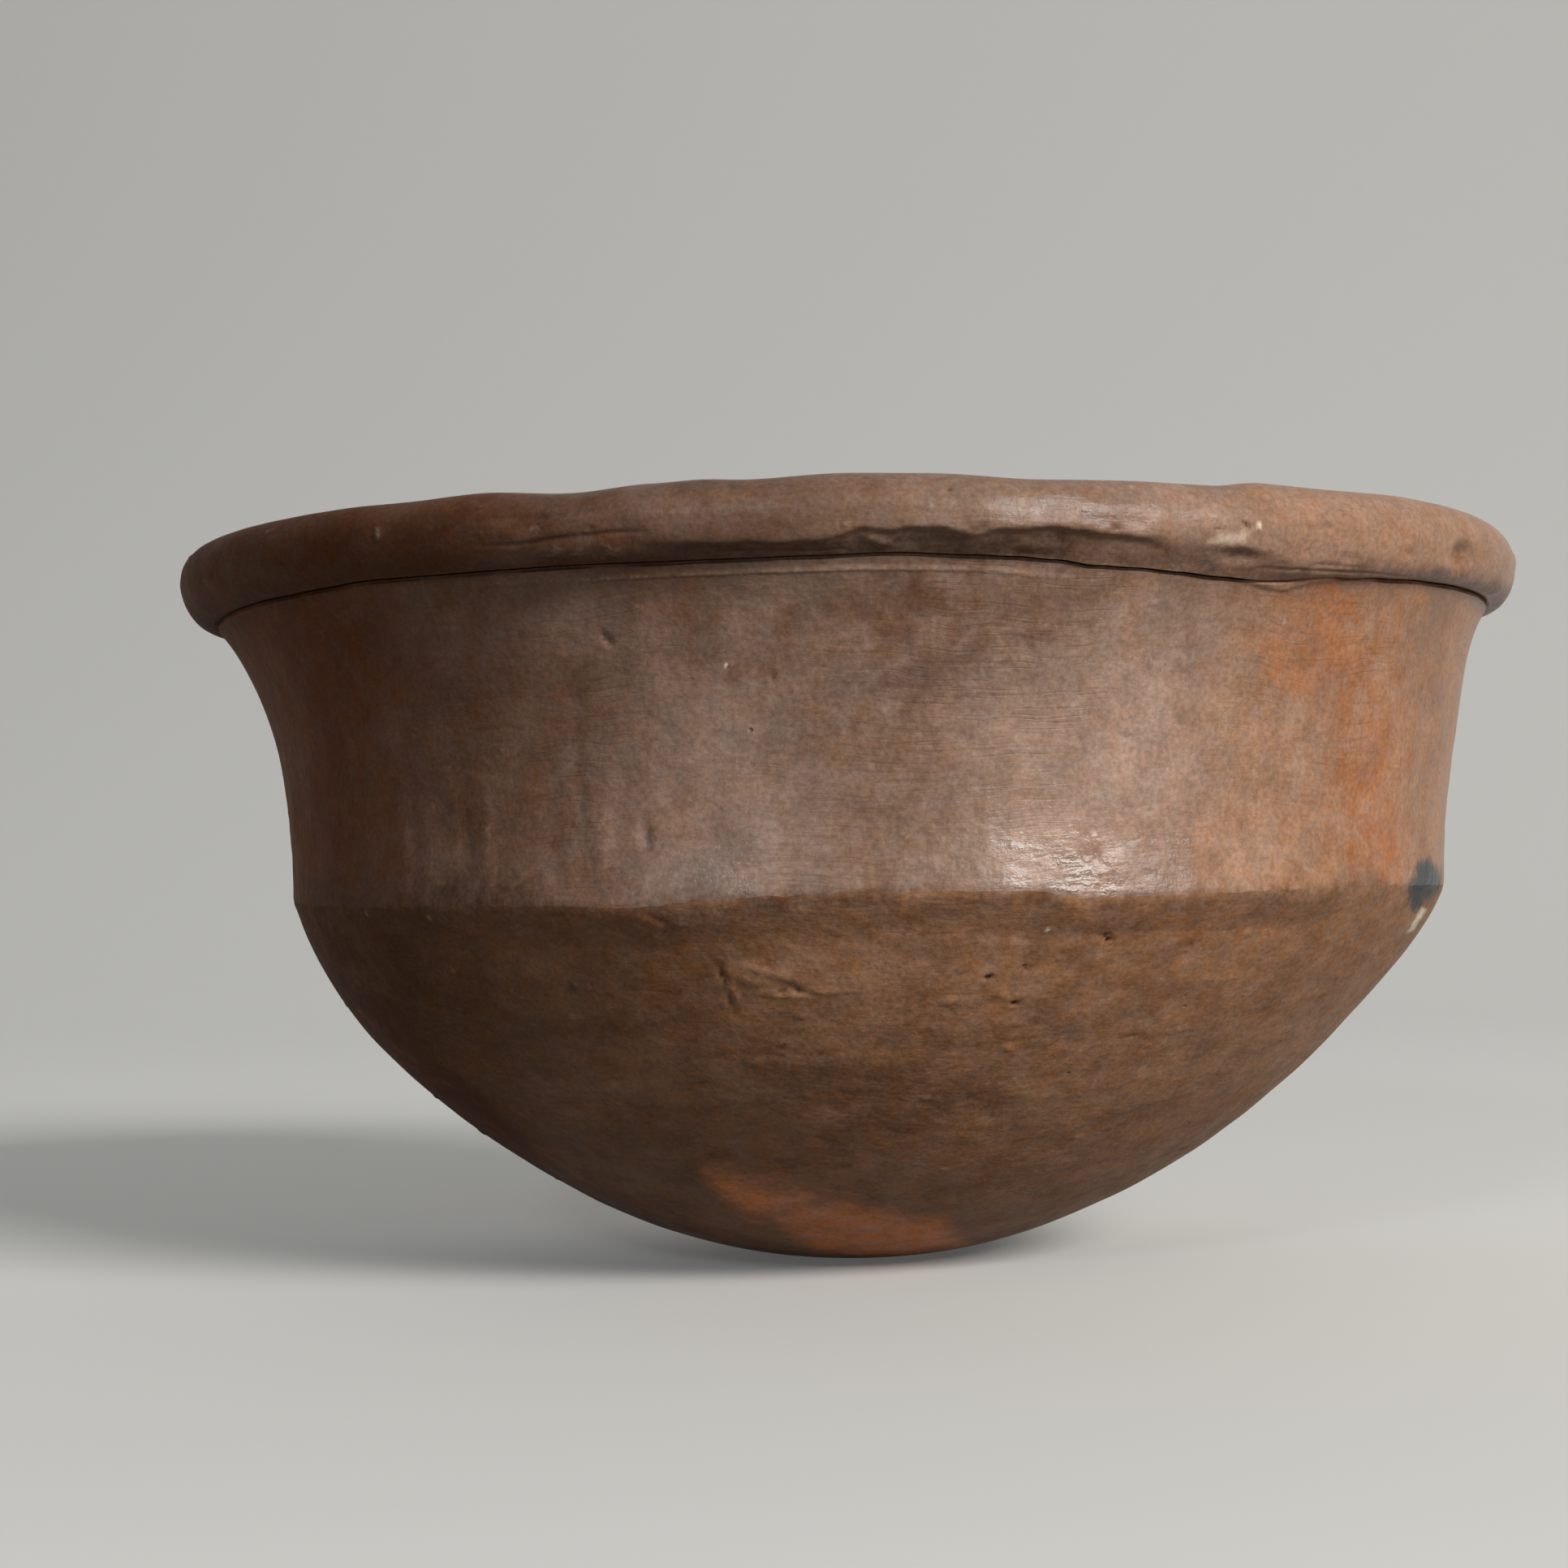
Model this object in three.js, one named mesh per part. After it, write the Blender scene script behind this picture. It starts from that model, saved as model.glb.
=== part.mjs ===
// Carinated bowl, hand-built in burnished earthenware.
// A round base, a concave wall luted onto the base's bevelled edge at the carination,
// and a rolled rim seated over the wall's lip.
// Millimetres, +Z up, origin at the middle of the resting flat. The front faces -Y.

import * as THREE from 'three';

// Round base
const FOOT_RADIUS = 14; // the small flat that the bowl rests on
const BELLY_RUN = 50; // the belly leaves the flat almost level over this run
const BELLY_RISE = 4.5;
const BASE_HEIGHT = 76; // resting flat to carination
const CARINATION_RADIUS = 121.3;
const SHOULDER_RUN = 29; // the belly tucks in under the carination over this length
const SHOULDER_ANGLE = 20; // degrees from upright
const FLOOR_THICKNESS = 8.5;

// Concave wall
const WALL_HEIGHT = 57; // carination to the crease under the rim
const WALL_FLARE = 12.5; // how far the crease stands out past the carination
const UPRIGHT_RUN = 16; // the wall leaves the carination upright over this length
const FLARE_RUN = 15; // and reaches the crease at the flare angle over this length
const FLARE_ANGLE = 40; // degrees from upright
const WALL_THICKNESS = 7;

// Lap of wall clay inside the base's edge
const LAP_DROP = 6; // the bevel falls this far from the carination to the inside
const LAP_FAIRING = 12; // the inside is smoothed up to this height above the carination

// Lip that the rim is seated on
const LIP_HEIGHT = 7;
const LIP_THICKNESS = 3.8;

// Rolled rim
const ROLL_HEIGHT = 16; // crease to the top of the roll
const ROLL_OVERHANG = 6.2; // how far the roll stands out past the crease
const ROLL_SWELL = 8.5; // height of its widest point above the crease
const ROLL_CREST = 7; // its top lies this far in from its widest point
const ROLL_INNER_SWELL = 0.6; // how far it stands in past the wall's inside

// Clay slip in the two joints
const LUTE_GAP = 0.3;

// Marks of hand building: rings out of true and edges that wander
const RING_DRIFT = 3; // sideways drift of the carination and wall towards +X
const RIM_DRIFT = -0.75; // and of the rim's top, the other way
const DRIFT_FADE = 30; // drift dies away over this height below the carination
const CARINATION_WAVE = 0.6; // height of the carination's rise and fall
const CARINATION_REACH = 26; // height either side of the carination that follows it
const CARINATION_CYCLES = [2, 5]; // waves in one turn, the slow one first
const RIM_WAVE = 0.7;
const RIM_REACH = 28; // height below the crease over which the wall comes to follow the rim
const RIM_CYCLES = [3, 2];

// Facets
const TURN_SEGMENTS = 64;
const LONG_CURVE_STEPS = 13;
const SHORT_CURVE_STEPS = 5;
const QUARTER_ROUND = (4 / 3) * (Math.SQRT2 - 1); // handle length of a quarter ellipse

const at = (radius, height) => new THREE.Vector2(radius, height);

// A point at a length along a line that leans out from upright by an angle.
function alongSlope(from, length, degrees) {
  const lean = THREE.MathUtils.degToRad(degrees);
  return at(from.x + length * Math.sin(lean), from.y + length * Math.cos(lean));
}

// A quarter of an ellipse from one point to another, rounding the corner between them.
function quarterRound(from, corner, to) {
  const start = from.clone().lerp(corner, QUARTER_ROUND);
  const end = to.clone().lerp(corner, QUARTER_ROUND);
  return new THREE.CubicBezierCurve(from, start, end, to);
}

// The point of a wall's inside that lies behind a point of its outside.
function insidePoint(outside, share, thickness) {
  const along = outside.getTangent(share);
  return outside.getPoint(share).add(at(-along.y, along.x).multiplyScalar(thickness));
}

// The share of an outside curve at which the inside reaches a height.
function shareAtInsideHeight(outside, thicknessAt, height) {
  let low = 0;
  let high = 1;
  while (high - low > 1e-6) {
    const middle = (low + high) / 2;
    if (insidePoint(outside, middle, thicknessAt(middle)).y < height) {
      low = middle;
    } else {
      high = middle;
    }
  }
  return low;
}

// Points of a wall's inside between two shares of its outside curve.
function insideRun(outside, thicknessAt, from, to, steps) {
  const points = [];
  for (let step = 0; step <= steps; step += 1) {
    const share = THREE.MathUtils.lerp(from, to, step / steps);
    points.push(insidePoint(outside, share, thicknessAt(share)));
  }
  return points;
}

// Key places of the profile
const footEdge = at(FOOT_RADIUS, 0);
const carination = at(CARINATION_RADIUS, BASE_HEIGHT);
const crease = at(CARINATION_RADIUS + WALL_FLARE, BASE_HEIGHT + WALL_HEIGHT);
const rimTop = crease.y + ROLL_HEIGHT;

const belly = new THREE.CubicBezierCurve(
  footEdge,
  at(FOOT_RADIUS + BELLY_RUN, BELLY_RISE),
  alongSlope(carination, -SHOULDER_RUN, SHOULDER_ANGLE),
  carination,
);
const wallFace = new THREE.CubicBezierCurve(
  carination,
  at(carination.x, carination.y + UPRIGHT_RUN),
  alongSlope(crease, -FLARE_RUN, FLARE_ANGLE),
  crease,
);
const baseThickness = (share) => THREE.MathUtils.lerp(FLOOR_THICKNESS, WALL_THICKNESS, share);
const wallThickness = () => WALL_THICKNESS;

const lapShare = shareAtInsideHeight(belly, baseThickness, BASE_HEIGHT - LAP_DROP);
const lapFoot = insidePoint(belly, lapShare, baseThickness(lapShare));
const ledgeShare = shareAtInsideHeight(wallFace, wallThickness, crease.y);
const innerLedge = insidePoint(wallFace, ledgeShare, WALL_THICKNESS);

// The round base ends in a bevel that falls from the carination to the inside.
function baseProfile() {
  return [
    at(0, 0),
    ...belly.getPoints(LONG_CURVE_STEPS),
    ...insideRun(belly, baseThickness, lapShare, 0, LONG_CURVE_STEPS),
    at(0, FLOOR_THICKNESS),
  ];
}

// The lip's outline over the wall, grown by a clearance: ledge, flank, round top, flank, ledge.
function lipOutline(clearance) {
  const half = LIP_THICKNESS / 2;
  const middle = (crease.x + innerLedge.x) / 2;
  const springing = crease.y + LIP_HEIGHT - half;
  const round = [];
  for (let step = 0; step <= SHORT_CURVE_STEPS; step += 1) {
    const turn = (Math.PI * step) / SHORT_CURVE_STEPS;
    const reach = half + clearance;
    round.push(at(middle + reach * Math.cos(turn), springing + reach * Math.sin(turn)));
  }
  const ledge = crease.y + clearance;
  return [at(middle + half + clearance, ledge), ...round, at(middle - half - clearance, ledge)];
}

// The wall stands on the bevel, with its inside smoothed over the joint, and ends in the lip.
function wallProfile() {
  const lift = at(0, LUTE_GAP);
  const seat = carination.clone().add(lift);
  const fairingHeight = BASE_HEIGHT + LAP_FAIRING;
  const fairingShare = shareAtInsideHeight(wallFace, wallThickness, fairingHeight);
  const fairing = new THREE.QuadraticBezierCurve(
    insidePoint(wallFace, fairingShare, WALL_THICKNESS),
    insidePoint(belly, 1, WALL_THICKNESS),
    lapFoot.clone().add(lift),
  );
  return [
    seat,
    ...wallFace.getPoints(LONG_CURVE_STEPS).slice(1),
    ...lipOutline(0),
    ...insideRun(wallFace, wallThickness, ledgeShare, fairingShare, LONG_CURVE_STEPS).slice(0, -1),
    ...fairing.getPoints(SHORT_CURVE_STEPS),
    seat,
  ];
}

// The roll: swollen outside, round over the top, and a groove below that takes the lip.
function rimProfile() {
  const underside = crease.y + LUTE_GAP;
  const heel = at(crease.x, underside);
  const widest = at(crease.x + ROLL_OVERHANG, crease.y + ROLL_SWELL);
  const crest = at(widest.x - ROLL_CREST, rimTop);
  const inner = at(innerLedge.x - ROLL_INNER_SWELL, widest.y);
  const toe = at(innerLedge.x, underside);
  return [
    ...quarterRound(heel, at(widest.x, heel.y), widest).getPoints(SHORT_CURVE_STEPS),
    ...quarterRound(widest, at(widest.x, crest.y), crest).getPoints(SHORT_CURVE_STEPS).slice(1),
    ...quarterRound(crest, at(inner.x, crest.y), inner).getPoints(SHORT_CURVE_STEPS).slice(1),
    toe,
    ...lipOutline(LUTE_GAP).reverse(),
    heel,
  ];
}

// Sideways drift of the ring at a height: none on the resting flat, most at the carination.
function ringDrift(height) {
  const rising = THREE.MathUtils.smoothstep(height, BASE_HEIGHT - DRIFT_FADE, BASE_HEIGHT);
  const nearRim = THREE.MathUtils.smoothstep(height, crease.y - RIM_REACH, rimTop);
  return THREE.MathUtils.lerp(RING_DRIFT * rising, RIM_DRIFT, nearRim);
}

// A wandering line round the bowl: a slow wave with a quicker one of half its height on it.
function wander(turn, [slow, quick]) {
  return (2 * Math.cos(slow * turn) + Math.sin(quick * turn)) / 3;
}

// Rise and fall of the edges round the bowl, where turn 0 is the front.
function edgeLift(turn, height) {
  const away = Math.abs(height - BASE_HEIGHT);
  const nearCarination = 1 - THREE.MathUtils.smoothstep(away, 0, CARINATION_REACH);
  const nearRim = THREE.MathUtils.smoothstep(height, crease.y - RIM_REACH, crease.y);
  return CARINATION_WAVE * nearCarination * wander(turn, CARINATION_CYCLES)
    + RIM_WAVE * nearRim * wander(turn, RIM_CYCLES);
}

// Turns a profile about Z and puts its rings out of true, as hand building leaves them.
// Every piece is moved by the same rule, so the joints stay closed.
function handTurned(profile) {
  const geometry = new THREE.LatheGeometry(profile, TURN_SEGMENTS);
  geometry.rotateX(Math.PI / 2);
  const place = geometry.attributes.position;
  for (let index = 0; index < place.count; index += 1) {
    const x = place.getX(index);
    const y = place.getY(index);
    const z = place.getZ(index);
    const turn = Math.atan2(x, -y);
    place.setXYZ(index, x + ringDrift(z), y, z + edgeLift(turn, z));
  }
  geometry.computeVertexNormals();
  return geometry;
}

function clay(colour, roughness) {
  return new THREE.MeshStandardMaterial({ color: colour, roughness, metalness: 0 });
}

function piece(name, profile, material) {
  const mesh = new THREE.Mesh(handTurned(profile), material);
  mesh.name = name;
  return mesh;
}

const bowl = new THREE.Group();
bowl.name = 'carinated_bowl';
bowl.add(piece('round_base', baseProfile(), clay(0x6b4b38, 0.55)));
bowl.add(piece('flared_wall', wallProfile(), clay(0x8c6a59, 0.45)));
bowl.add(piece('rolled_rim', rimProfile(), clay(0x87634f, 0.5)));

export default bowl;
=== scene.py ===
# %% [markdown]
# # A carinated bowl in burnished clay
# The bowl was built without a wheel from three clay members: a round base, a flared wall luted onto
# the base's edge, and a roll of clay lapped over the wall's lip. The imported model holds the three
# members at their real size. They could be shown as they are, but their skin is plain. This lesson
# turns each one again from the same sizes and gives it the skin of the fired bowl: a ridge that
# wanders, a folded rim, the marks of the burnishing stone, smoke, fire and grit.

# %% Load the frame
import math
import random

import bmesh
import bpy
from mathutils import Matrix, Vector, noise
from mathutils.bvhtree import BVHTree
from mathutils.geometry import interpolate_bezier
from mathutils.kdtree import KDTree


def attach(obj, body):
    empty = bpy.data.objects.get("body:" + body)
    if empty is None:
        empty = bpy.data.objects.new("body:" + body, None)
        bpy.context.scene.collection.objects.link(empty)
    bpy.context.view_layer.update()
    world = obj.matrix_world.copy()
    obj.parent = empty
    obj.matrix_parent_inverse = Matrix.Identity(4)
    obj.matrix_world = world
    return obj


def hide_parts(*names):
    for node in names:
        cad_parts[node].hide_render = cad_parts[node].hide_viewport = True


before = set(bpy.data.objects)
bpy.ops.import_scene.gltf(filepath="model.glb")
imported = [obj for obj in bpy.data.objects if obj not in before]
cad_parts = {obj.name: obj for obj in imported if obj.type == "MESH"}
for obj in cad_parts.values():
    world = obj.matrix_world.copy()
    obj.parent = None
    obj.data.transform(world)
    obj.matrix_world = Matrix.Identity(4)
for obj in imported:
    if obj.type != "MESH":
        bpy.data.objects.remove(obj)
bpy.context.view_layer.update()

MM = 0.001
UP = Vector((0, 0, 1))
print("nodes:", sorted(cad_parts))

# %% [markdown]
# ## The camera
# The bowl is seen from the height of its ridge and about two thirds of a metre away, so the ridge
# looks almost straight and the rim bows upwards. A lens can be set in millimetres or as an angle of
# view. Here it is worked out from a focal length in pixels of the square picture, because marks are
# placed by pixel later.

# %% Camera
IMAGE_SIDE = 1932
FOCAL_PIXELS = 3828
SENSOR_MM = 36.0
CAMERA_PLACE = Vector((0, -666, 79.8)) * MM
CAMERA_YAW = math.radians(1.22)
CAMERA_PITCH = math.radians(1.71)
CAMERA_ROLL = math.radians(-0.87)
CAMERA_TURN = (
    Matrix.Rotation(CAMERA_YAW, 3, "Z")
    @ Matrix.Rotation(math.pi / 2 + CAMERA_PITCH, 3, "X")
    @ Matrix.Rotation(CAMERA_ROLL, 3, "Z")
)


def make_camera():
    optics = bpy.data.cameras.new("bowl_camera")
    optics.sensor_width = SENSOR_MM
    optics.lens = SENSOR_MM * FOCAL_PIXELS / IMAGE_SIDE
    camera = bpy.data.objects.new("bowl_camera", optics)
    camera.matrix_world = Matrix.Translation(CAMERA_PLACE) @ CAMERA_TURN.to_4x4()
    bpy.context.scene.collection.objects.link(camera)
    bpy.context.scene.camera = camera
    return camera


camera = make_camera()
print("lens", round(camera.data.lens, 1), "mm")

# %% [markdown]
# ## Sight lines
# Many marks on the clay sit at places that only a picture can give. They could be placed by eye in
# three dimensions. A sight line from the camera through a pixel is surer: where it meets the clay
# is the spot that the pixel shows. The way back, from a place to its pixel, lets an outline that is
# drawn in pixels be filled.

# %% Pixels and sight lines
def sight_line(pixel):
    """The direction from the camera through a pixel of the square picture."""
    across = (pixel[0] - IMAGE_SIDE / 2) / FOCAL_PIXELS
    down = (pixel[1] - IMAGE_SIDE / 2) / FOCAL_PIXELS
    return (CAMERA_TURN @ Vector((across, -down, -1))).normalized()


def pixel_of(place):
    """The pixel of the square picture that shows a place."""
    seen = CAMERA_TURN.transposed() @ (place - CAMERA_PLACE)
    middle = Vector((IMAGE_SIDE, IMAGE_SIDE)) / 2
    return middle + Vector((seen.x, -seen.y)) * FOCAL_PIXELS / -seen.z


print("the resting point lies behind pixel", [round(level) for level in pixel_of(Vector())])

# %% [markdown]
# ## Key places of the profile
# A round bowl is a line turned about an axis, so its drawing comes first: a point of it is a radius
# and a height. The line could be traced point by point. A few sizes, the same as those of the packed
# members, are easier to read and keep the members fitting. The carination is the sharp ridge round
# the bowl, and the crease is where the roll meets the wall.

# %% Key places
BASE_HEIGHT = 76 * MM
CARINATION_RADIUS = 121.3 * MM
WALL_HEIGHT = 57 * MM
WALL_FLARE = 12.5 * MM
ROLL_HEIGHT = 16 * MM


def at(radius, height):
    return Vector((radius, 0, height))


carination = at(CARINATION_RADIUS, BASE_HEIGHT)
crease = at(CARINATION_RADIUS + WALL_FLARE, BASE_HEIGHT + WALL_HEIGHT)
rim_top = crease.z + ROLL_HEIGHT
print("carination", tuple(round(v / MM, 1) for v in carination), "crease", round(crease.z / MM, 1))

# %% [markdown]
# ## Rings out of true
# No ring of a bowl built without a wheel is centred on the next. The wall drifts three millimetres
# to the right of the foot, and the rim comes back to the left. A lattice could lean the bowl over.
# One rule by height is chosen, because all three members follow it and their joints stay shut.

# %% Drift of the rings
RING_DRIFT = 3 * MM
RIM_DRIFT = -0.75 * MM
DRIFT_FADE = 30 * MM
RIM_REACH = 28 * MM


def smooth(value, low, high):
    share = min(max((value - low) / (high - low), 0), 1)
    return share * share * (3 - 2 * share)


def ring_drift(height):
    rising = smooth(height, BASE_HEIGHT - DRIFT_FADE, BASE_HEIGHT)
    falling = smooth(height, crease.z - RIM_REACH, rim_top)
    return RING_DRIFT * rising * (1 - falling) + RIM_DRIFT * falling


for title, height in (("foot", 0), ("ridge", BASE_HEIGHT), ("crease", crease.z), ("rim top", rim_top)):
    print(title, "drifts", round(ring_drift(height) / MM, 2), "mm")

# %% [markdown]
# ## Edges that wander
# The ridge, the crease under the rim and the rim's top rise and fall by a millimetre or two. A noise
# would give a wave, but not this bowl's own. So each edge is picked along the front as pixels, and
# each sight line is met with the edge's own cylinder, which gives a turn round the bowl and a
# height. Past the last pixel, where nothing was picked, the lift dies away.

# %% Picked edges
EDGE_FADE = math.radians(35)
CREASE_OPEN = 0.8 * MM
CREST_SIGHT_RADIUS = 136 * MM
CREST_SIGHT_HEIGHT = 148.9 * MM
RIDGE_PIXELS = [
    (480, 1119), (600, 1117), (700, 1116), (780, 1119), (870, 1110), (960, 1104), (1080, 1100),
    (1180, 1098), (1260, 1098), (1340, 1107), (1400, 1104), (1500, 1100), (1600, 1095), (1700, 1092),
]
CREASE_PIXELS = [
    (350, 738), (400, 728), (450, 719), (550, 711), (600, 707), (700, 700), (800, 696), (900, 692),
    (1000, 688), (1100, 684), (1200, 687), (1250, 689), (1300, 693), (1350, 700), (1400, 703),
    (1450, 708), (1500, 714), (1550, 719), (1650, 716), (1700, 716), (1750, 719), (1800, 727),
]
CREST_PIXELS = [
    (420, 625), (500, 617), (580, 607), (700, 606), (800, 594), (860, 589), (920, 589), (1040, 581),
    (1140, 581), (1280, 589), (1400, 591), (1500, 597), (1560, 594), (1640, 602), (1740, 612),
]


def on_cylinder(pixel, radius, height):
    """Turn and height at which a pixel's sight line meets the ring of a radius at about a height."""
    eye = CAMERA_PLACE - Vector((ring_drift(height), 0, 0))
    ray = sight_line(pixel)
    spread = ray.x**2 + ray.y**2
    half = eye.x * ray.x + eye.y * ray.y
    rest = eye.x**2 + eye.y**2 - radius**2
    hit = eye + ray * ((-half - math.sqrt(half * half - spread * rest)) / spread)
    return math.atan2(hit.x, -hit.y), hit.z


def picked_line(pixels, radius, height):
    """Turn and lift of an edge at pixels picked along it, from left to right."""
    met = [on_cylinder(pixel, radius, height) for pixel in pixels]
    return sorted((turn, met_height - height) for turn, met_height in met)


ridge_line = picked_line(RIDGE_PIXELS, carination.x, carination.z)
crease_line = picked_line(CREASE_PIXELS, crease.x, crease.z - CREASE_OPEN / 2)
crest_line = picked_line(CREST_PIXELS, CREST_SIGHT_RADIUS, CREST_SIGHT_HEIGHT)
for title, line in (("ridge", ridge_line), ("crease", crease_line), ("crest", crest_line)):
    lifts = [lift / MM for _, lift in line]
    print(title, "lifts from", round(min(lifts), 2), "to", round(max(lifts), 2), "mm")

# %% [markdown]
# ## The lift of the edges
# Between two edges the clay follows both, and behind, a slow wave takes over from the picked lines.
# The ridge also has nicks a few millimetres long, where the scraper caught it. Proportional editing
# could pull the rings up one by one. A rule of turn and height does it to all three members at once.

# %% Lift of the edges
RIDGE_REACH = 26 * MM
BACK_WAVE = 0.5 * MM
BACK_CYCLES = 3
BACK_FROM = (math.radians(80), math.radians(120))
NICK = 0.4 * MM
NICK_SIZE = 3.2 * MM
NICK_REACH = 4 * MM
NICK_SEED = 3


def along_line(picked, turn):
    """The lift at a turn: eased between the picked points, dying away past the ends."""
    first, last = picked[0], picked[-1]
    if turn <= first[0]:
        return first[1] * (1 - smooth(first[0] - turn, 0, EDGE_FADE))
    if turn >= last[0]:
        return last[1] * (1 - smooth(turn - last[0], 0, EDGE_FADE))
    for (left, low), (right, high) in zip(picked, picked[1:]):
        if turn <= right:
            return low + (high - low) * smooth(turn, left, right)
    return 0.0


def edge_lift(turn, height):
    wave = BACK_WAVE * smooth(abs(turn), *BACK_FROM) * math.cos(BACK_CYCLES * turn)
    near_ridge = 1 - smooth(abs(height - BASE_HEIGHT), 0, RIDGE_REACH)
    near_crease = smooth(height, crease.z - RIM_REACH, crease.z)
    near_crest = smooth(height, crease.z, rim_top)
    ridge = along_line(ridge_line, turn) + wave
    at_ridge = 1 - smooth(abs(height - BASE_HEIGHT), 0, NICK_REACH)
    nick = NICK * at_ridge * noise.noise(Vector((turn * CARINATION_RADIUS / NICK_SIZE, NICK_SEED, 0)))
    rim = along_line(crease_line, turn) * (1 - near_crest) + along_line(crest_line, turn) * near_crest
    return near_ridge * ridge + nick + near_crease * (rim - wave)


for degrees in (-60, 0, 60, 180):
    lifted = edge_lift(math.radians(degrees), BASE_HEIGHT)
    print("ridge at", degrees, "degrees lifts", round(lifted / MM, 2), "mm")

# %% [markdown]
# ## Turning a member
# A potter coils clay round and round; here the drawn line becomes a bmesh of a few dozen vertices
# that is turned about the axis. One spin through the whole circle would do. A spin through a
# sixteenth of it, doubled four times, is quicker at this fineness. Merging joins the sixteenths and,
# on the base, the poles on the axis, and then the normals are made to point outwards.

# %% Turning
DOUBLINGS = 4
MERGE_DISTANCE = 0.002 * MM


def turned(profile, closed, steps):
    shape = bmesh.new()
    points = [shape.verts.new(point) for point in profile]
    for first, second in zip(points, points[1:]):
        shape.edges.new((first, second))
    if closed:
        shape.edges.new((points[-1], points[0]))
    sweep = math.tau / 2**DOUBLINGS
    line = shape.verts[:] + shape.edges[:]
    bmesh.ops.spin(shape, geom=line, axis=UP, angle=sweep, steps=steps)
    for _ in range(DOUBLINGS):
        copied = bmesh.ops.duplicate(shape, geom=shape.verts[:] + shape.edges[:] + shape.faces[:])
        moved = [part for part in copied["geom"] if isinstance(part, bmesh.types.BMVert)]
        bmesh.ops.rotate(shape, verts=moved, matrix=Matrix.Rotation(sweep, 3, "Z"))
        sweep *= 2
    bmesh.ops.remove_doubles(shape, verts=shape.verts, dist=MERGE_DISTANCE)
    bmesh.ops.recalc_face_normals(shape, faces=shape.faces)
    return shape


print("each member is turned in", 2**DOUBLINGS, "sectors")

# %% [markdown]
# ## From a true ring to a built one
# A turned member is perfectly round. Its columns are first drawn together at the front, where the
# finest marks are; more columns all round would do the same with over twice the faces. Then the drift
# and the lift move every vertex. A member may also be filled out here and there before it is moved.

# %% Putting a member out of true
DRAWN_IN = 0.58


def put_out_of_true(shape, filled=None):
    """Draws the columns together at the front and moves the rings by drift and lift."""
    for vertex in shape.verts:
        x, y, z = vertex.co
        radius, even = math.hypot(x, y), math.atan2(x, -y)
        turn = even - DRAWN_IN * math.sin(even)
        if filled:
            radius += filled(turn, radius, z)
        vertex.co = (
            radius * math.sin(turn) + ring_drift(z),
            -radius * math.cos(turn),
            z + edge_lift(turn, z),
        )


print("columns stand", round(1 / (1 - DRAWN_IN), 1), "times closer in front than if they were even")

# %% [markdown]
# ## The outside line
# The belly leaves its small flat almost level and tucks in under the ridge. The wall leaves the ridge
# upright and flares to the crease. Arcs could be fitted, but a Bezier stretch takes the slope at each
# end straight from its handles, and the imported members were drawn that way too. Rows lie closest
# where the marks are finest.

# %% Belly and wall face
FOOT_RADIUS = 14 * MM
BELLY_RUN = 50 * MM
BELLY_RISE = 4.5 * MM
SHOULDER_RUN = 29 * MM
SHOULDER_ANGLE = 20
UPRIGHT_RUN = 16 * MM
FLARE_RUN = 15 * MM
FLARE_ANGLE = 40
BELLY_STEPS = 260
FOOT_STEP = 4
FOOT_REACH = 17 * MM
WALL_STEPS = 416
COARSE_STEP = 5
FINE_STEP = 2
FINE_REACH = 9 * MM


def along_slope(start, length, degrees):
    lean = math.radians(degrees)
    return start + Vector((math.sin(lean), 0, math.cos(lean))) * length


foot_edge = at(FOOT_RADIUS, 0)
belly_handle = at(FOOT_RADIUS + BELLY_RUN, BELLY_RISE)
shoulder_handle = along_slope(carination, -SHOULDER_RUN, SHOULDER_ANGLE)
belly = interpolate_bezier(foot_edge, belly_handle, shoulder_handle, carination, BELLY_STEPS + 1)
belly_rows = [point for index, point in enumerate(belly) if point.z > FOOT_REACH or index % FOOT_STEP == 0]

wall_handle = at(carination.x, carination.z + UPRIGHT_RUN)
flare_handle = along_slope(crease, -FLARE_RUN, FLARE_ANGLE)
wall_line = interpolate_bezier(carination, wall_handle, flare_handle, crease, WALL_STEPS + 1)
wall_face = []
for index, point in enumerate(wall_line):
    step = FINE_STEP if point.z > crease.z - FINE_REACH else COARSE_STEP
    if index % step == 0:
        wall_face.append(point)
print("belly", len(belly_rows), "rows, wall", len(wall_face), "rows")

# %% [markdown]
# ## The ridge
# On the clay the ridge is a worn corner and not a knife edge. A bevel operator could round it, but
# the corner lies between two members. It is drawn as one small round, and the seam between the
# members is put in its middle, so the skin runs on across the joint.

# %% Ridge
RIDGE_ROUNDING = 1.3 * MM
RIDGE_STEPS = 8
QUARTER_ROUND = 4 / 3 * (math.sqrt(2) - 1)


def cut_back(line, distance):
    """The line shortened at its end by a distance."""
    end = line[-1]
    kept = [point for point in line if (point - end).length > distance]
    return kept + [end + (kept[-1] - end).normalized() * distance]


def quarter_round(start, corner, end, steps):
    out = start.lerp(corner, QUARTER_ROUND)
    back = end.lerp(corner, QUARTER_ROUND)
    return interpolate_bezier(start, out, back, end, steps + 1)


belly_skin = cut_back(belly_rows, RIDGE_ROUNDING)
wall_skin = cut_back(wall_face[::-1], RIDGE_ROUNDING)[::-1]
wall_skin = cut_back(wall_skin, CREASE_OPEN)
ridge_round = quarter_round(belly_skin[-1], carination, wall_skin[0], RIDGE_STEPS)
ridge_middle = RIDGE_STEPS // 2
print("the ridge is worn back", round((ridge_round[ridge_middle] - carination).length / MM, 2), "mm")

# %% [markdown]
# ## The round base
# The base is a hollow cap with a small flat to rest on, and its edge is cut to a bevel that falls
# inwards, where the wall's clay laps. A solidify modifier could give the thickness, but it would
# know nothing of the bevel. So the inside is drawn behind the outside at the clay's thickness, with
# fewer rows, because nobody sees it close up.

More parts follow.
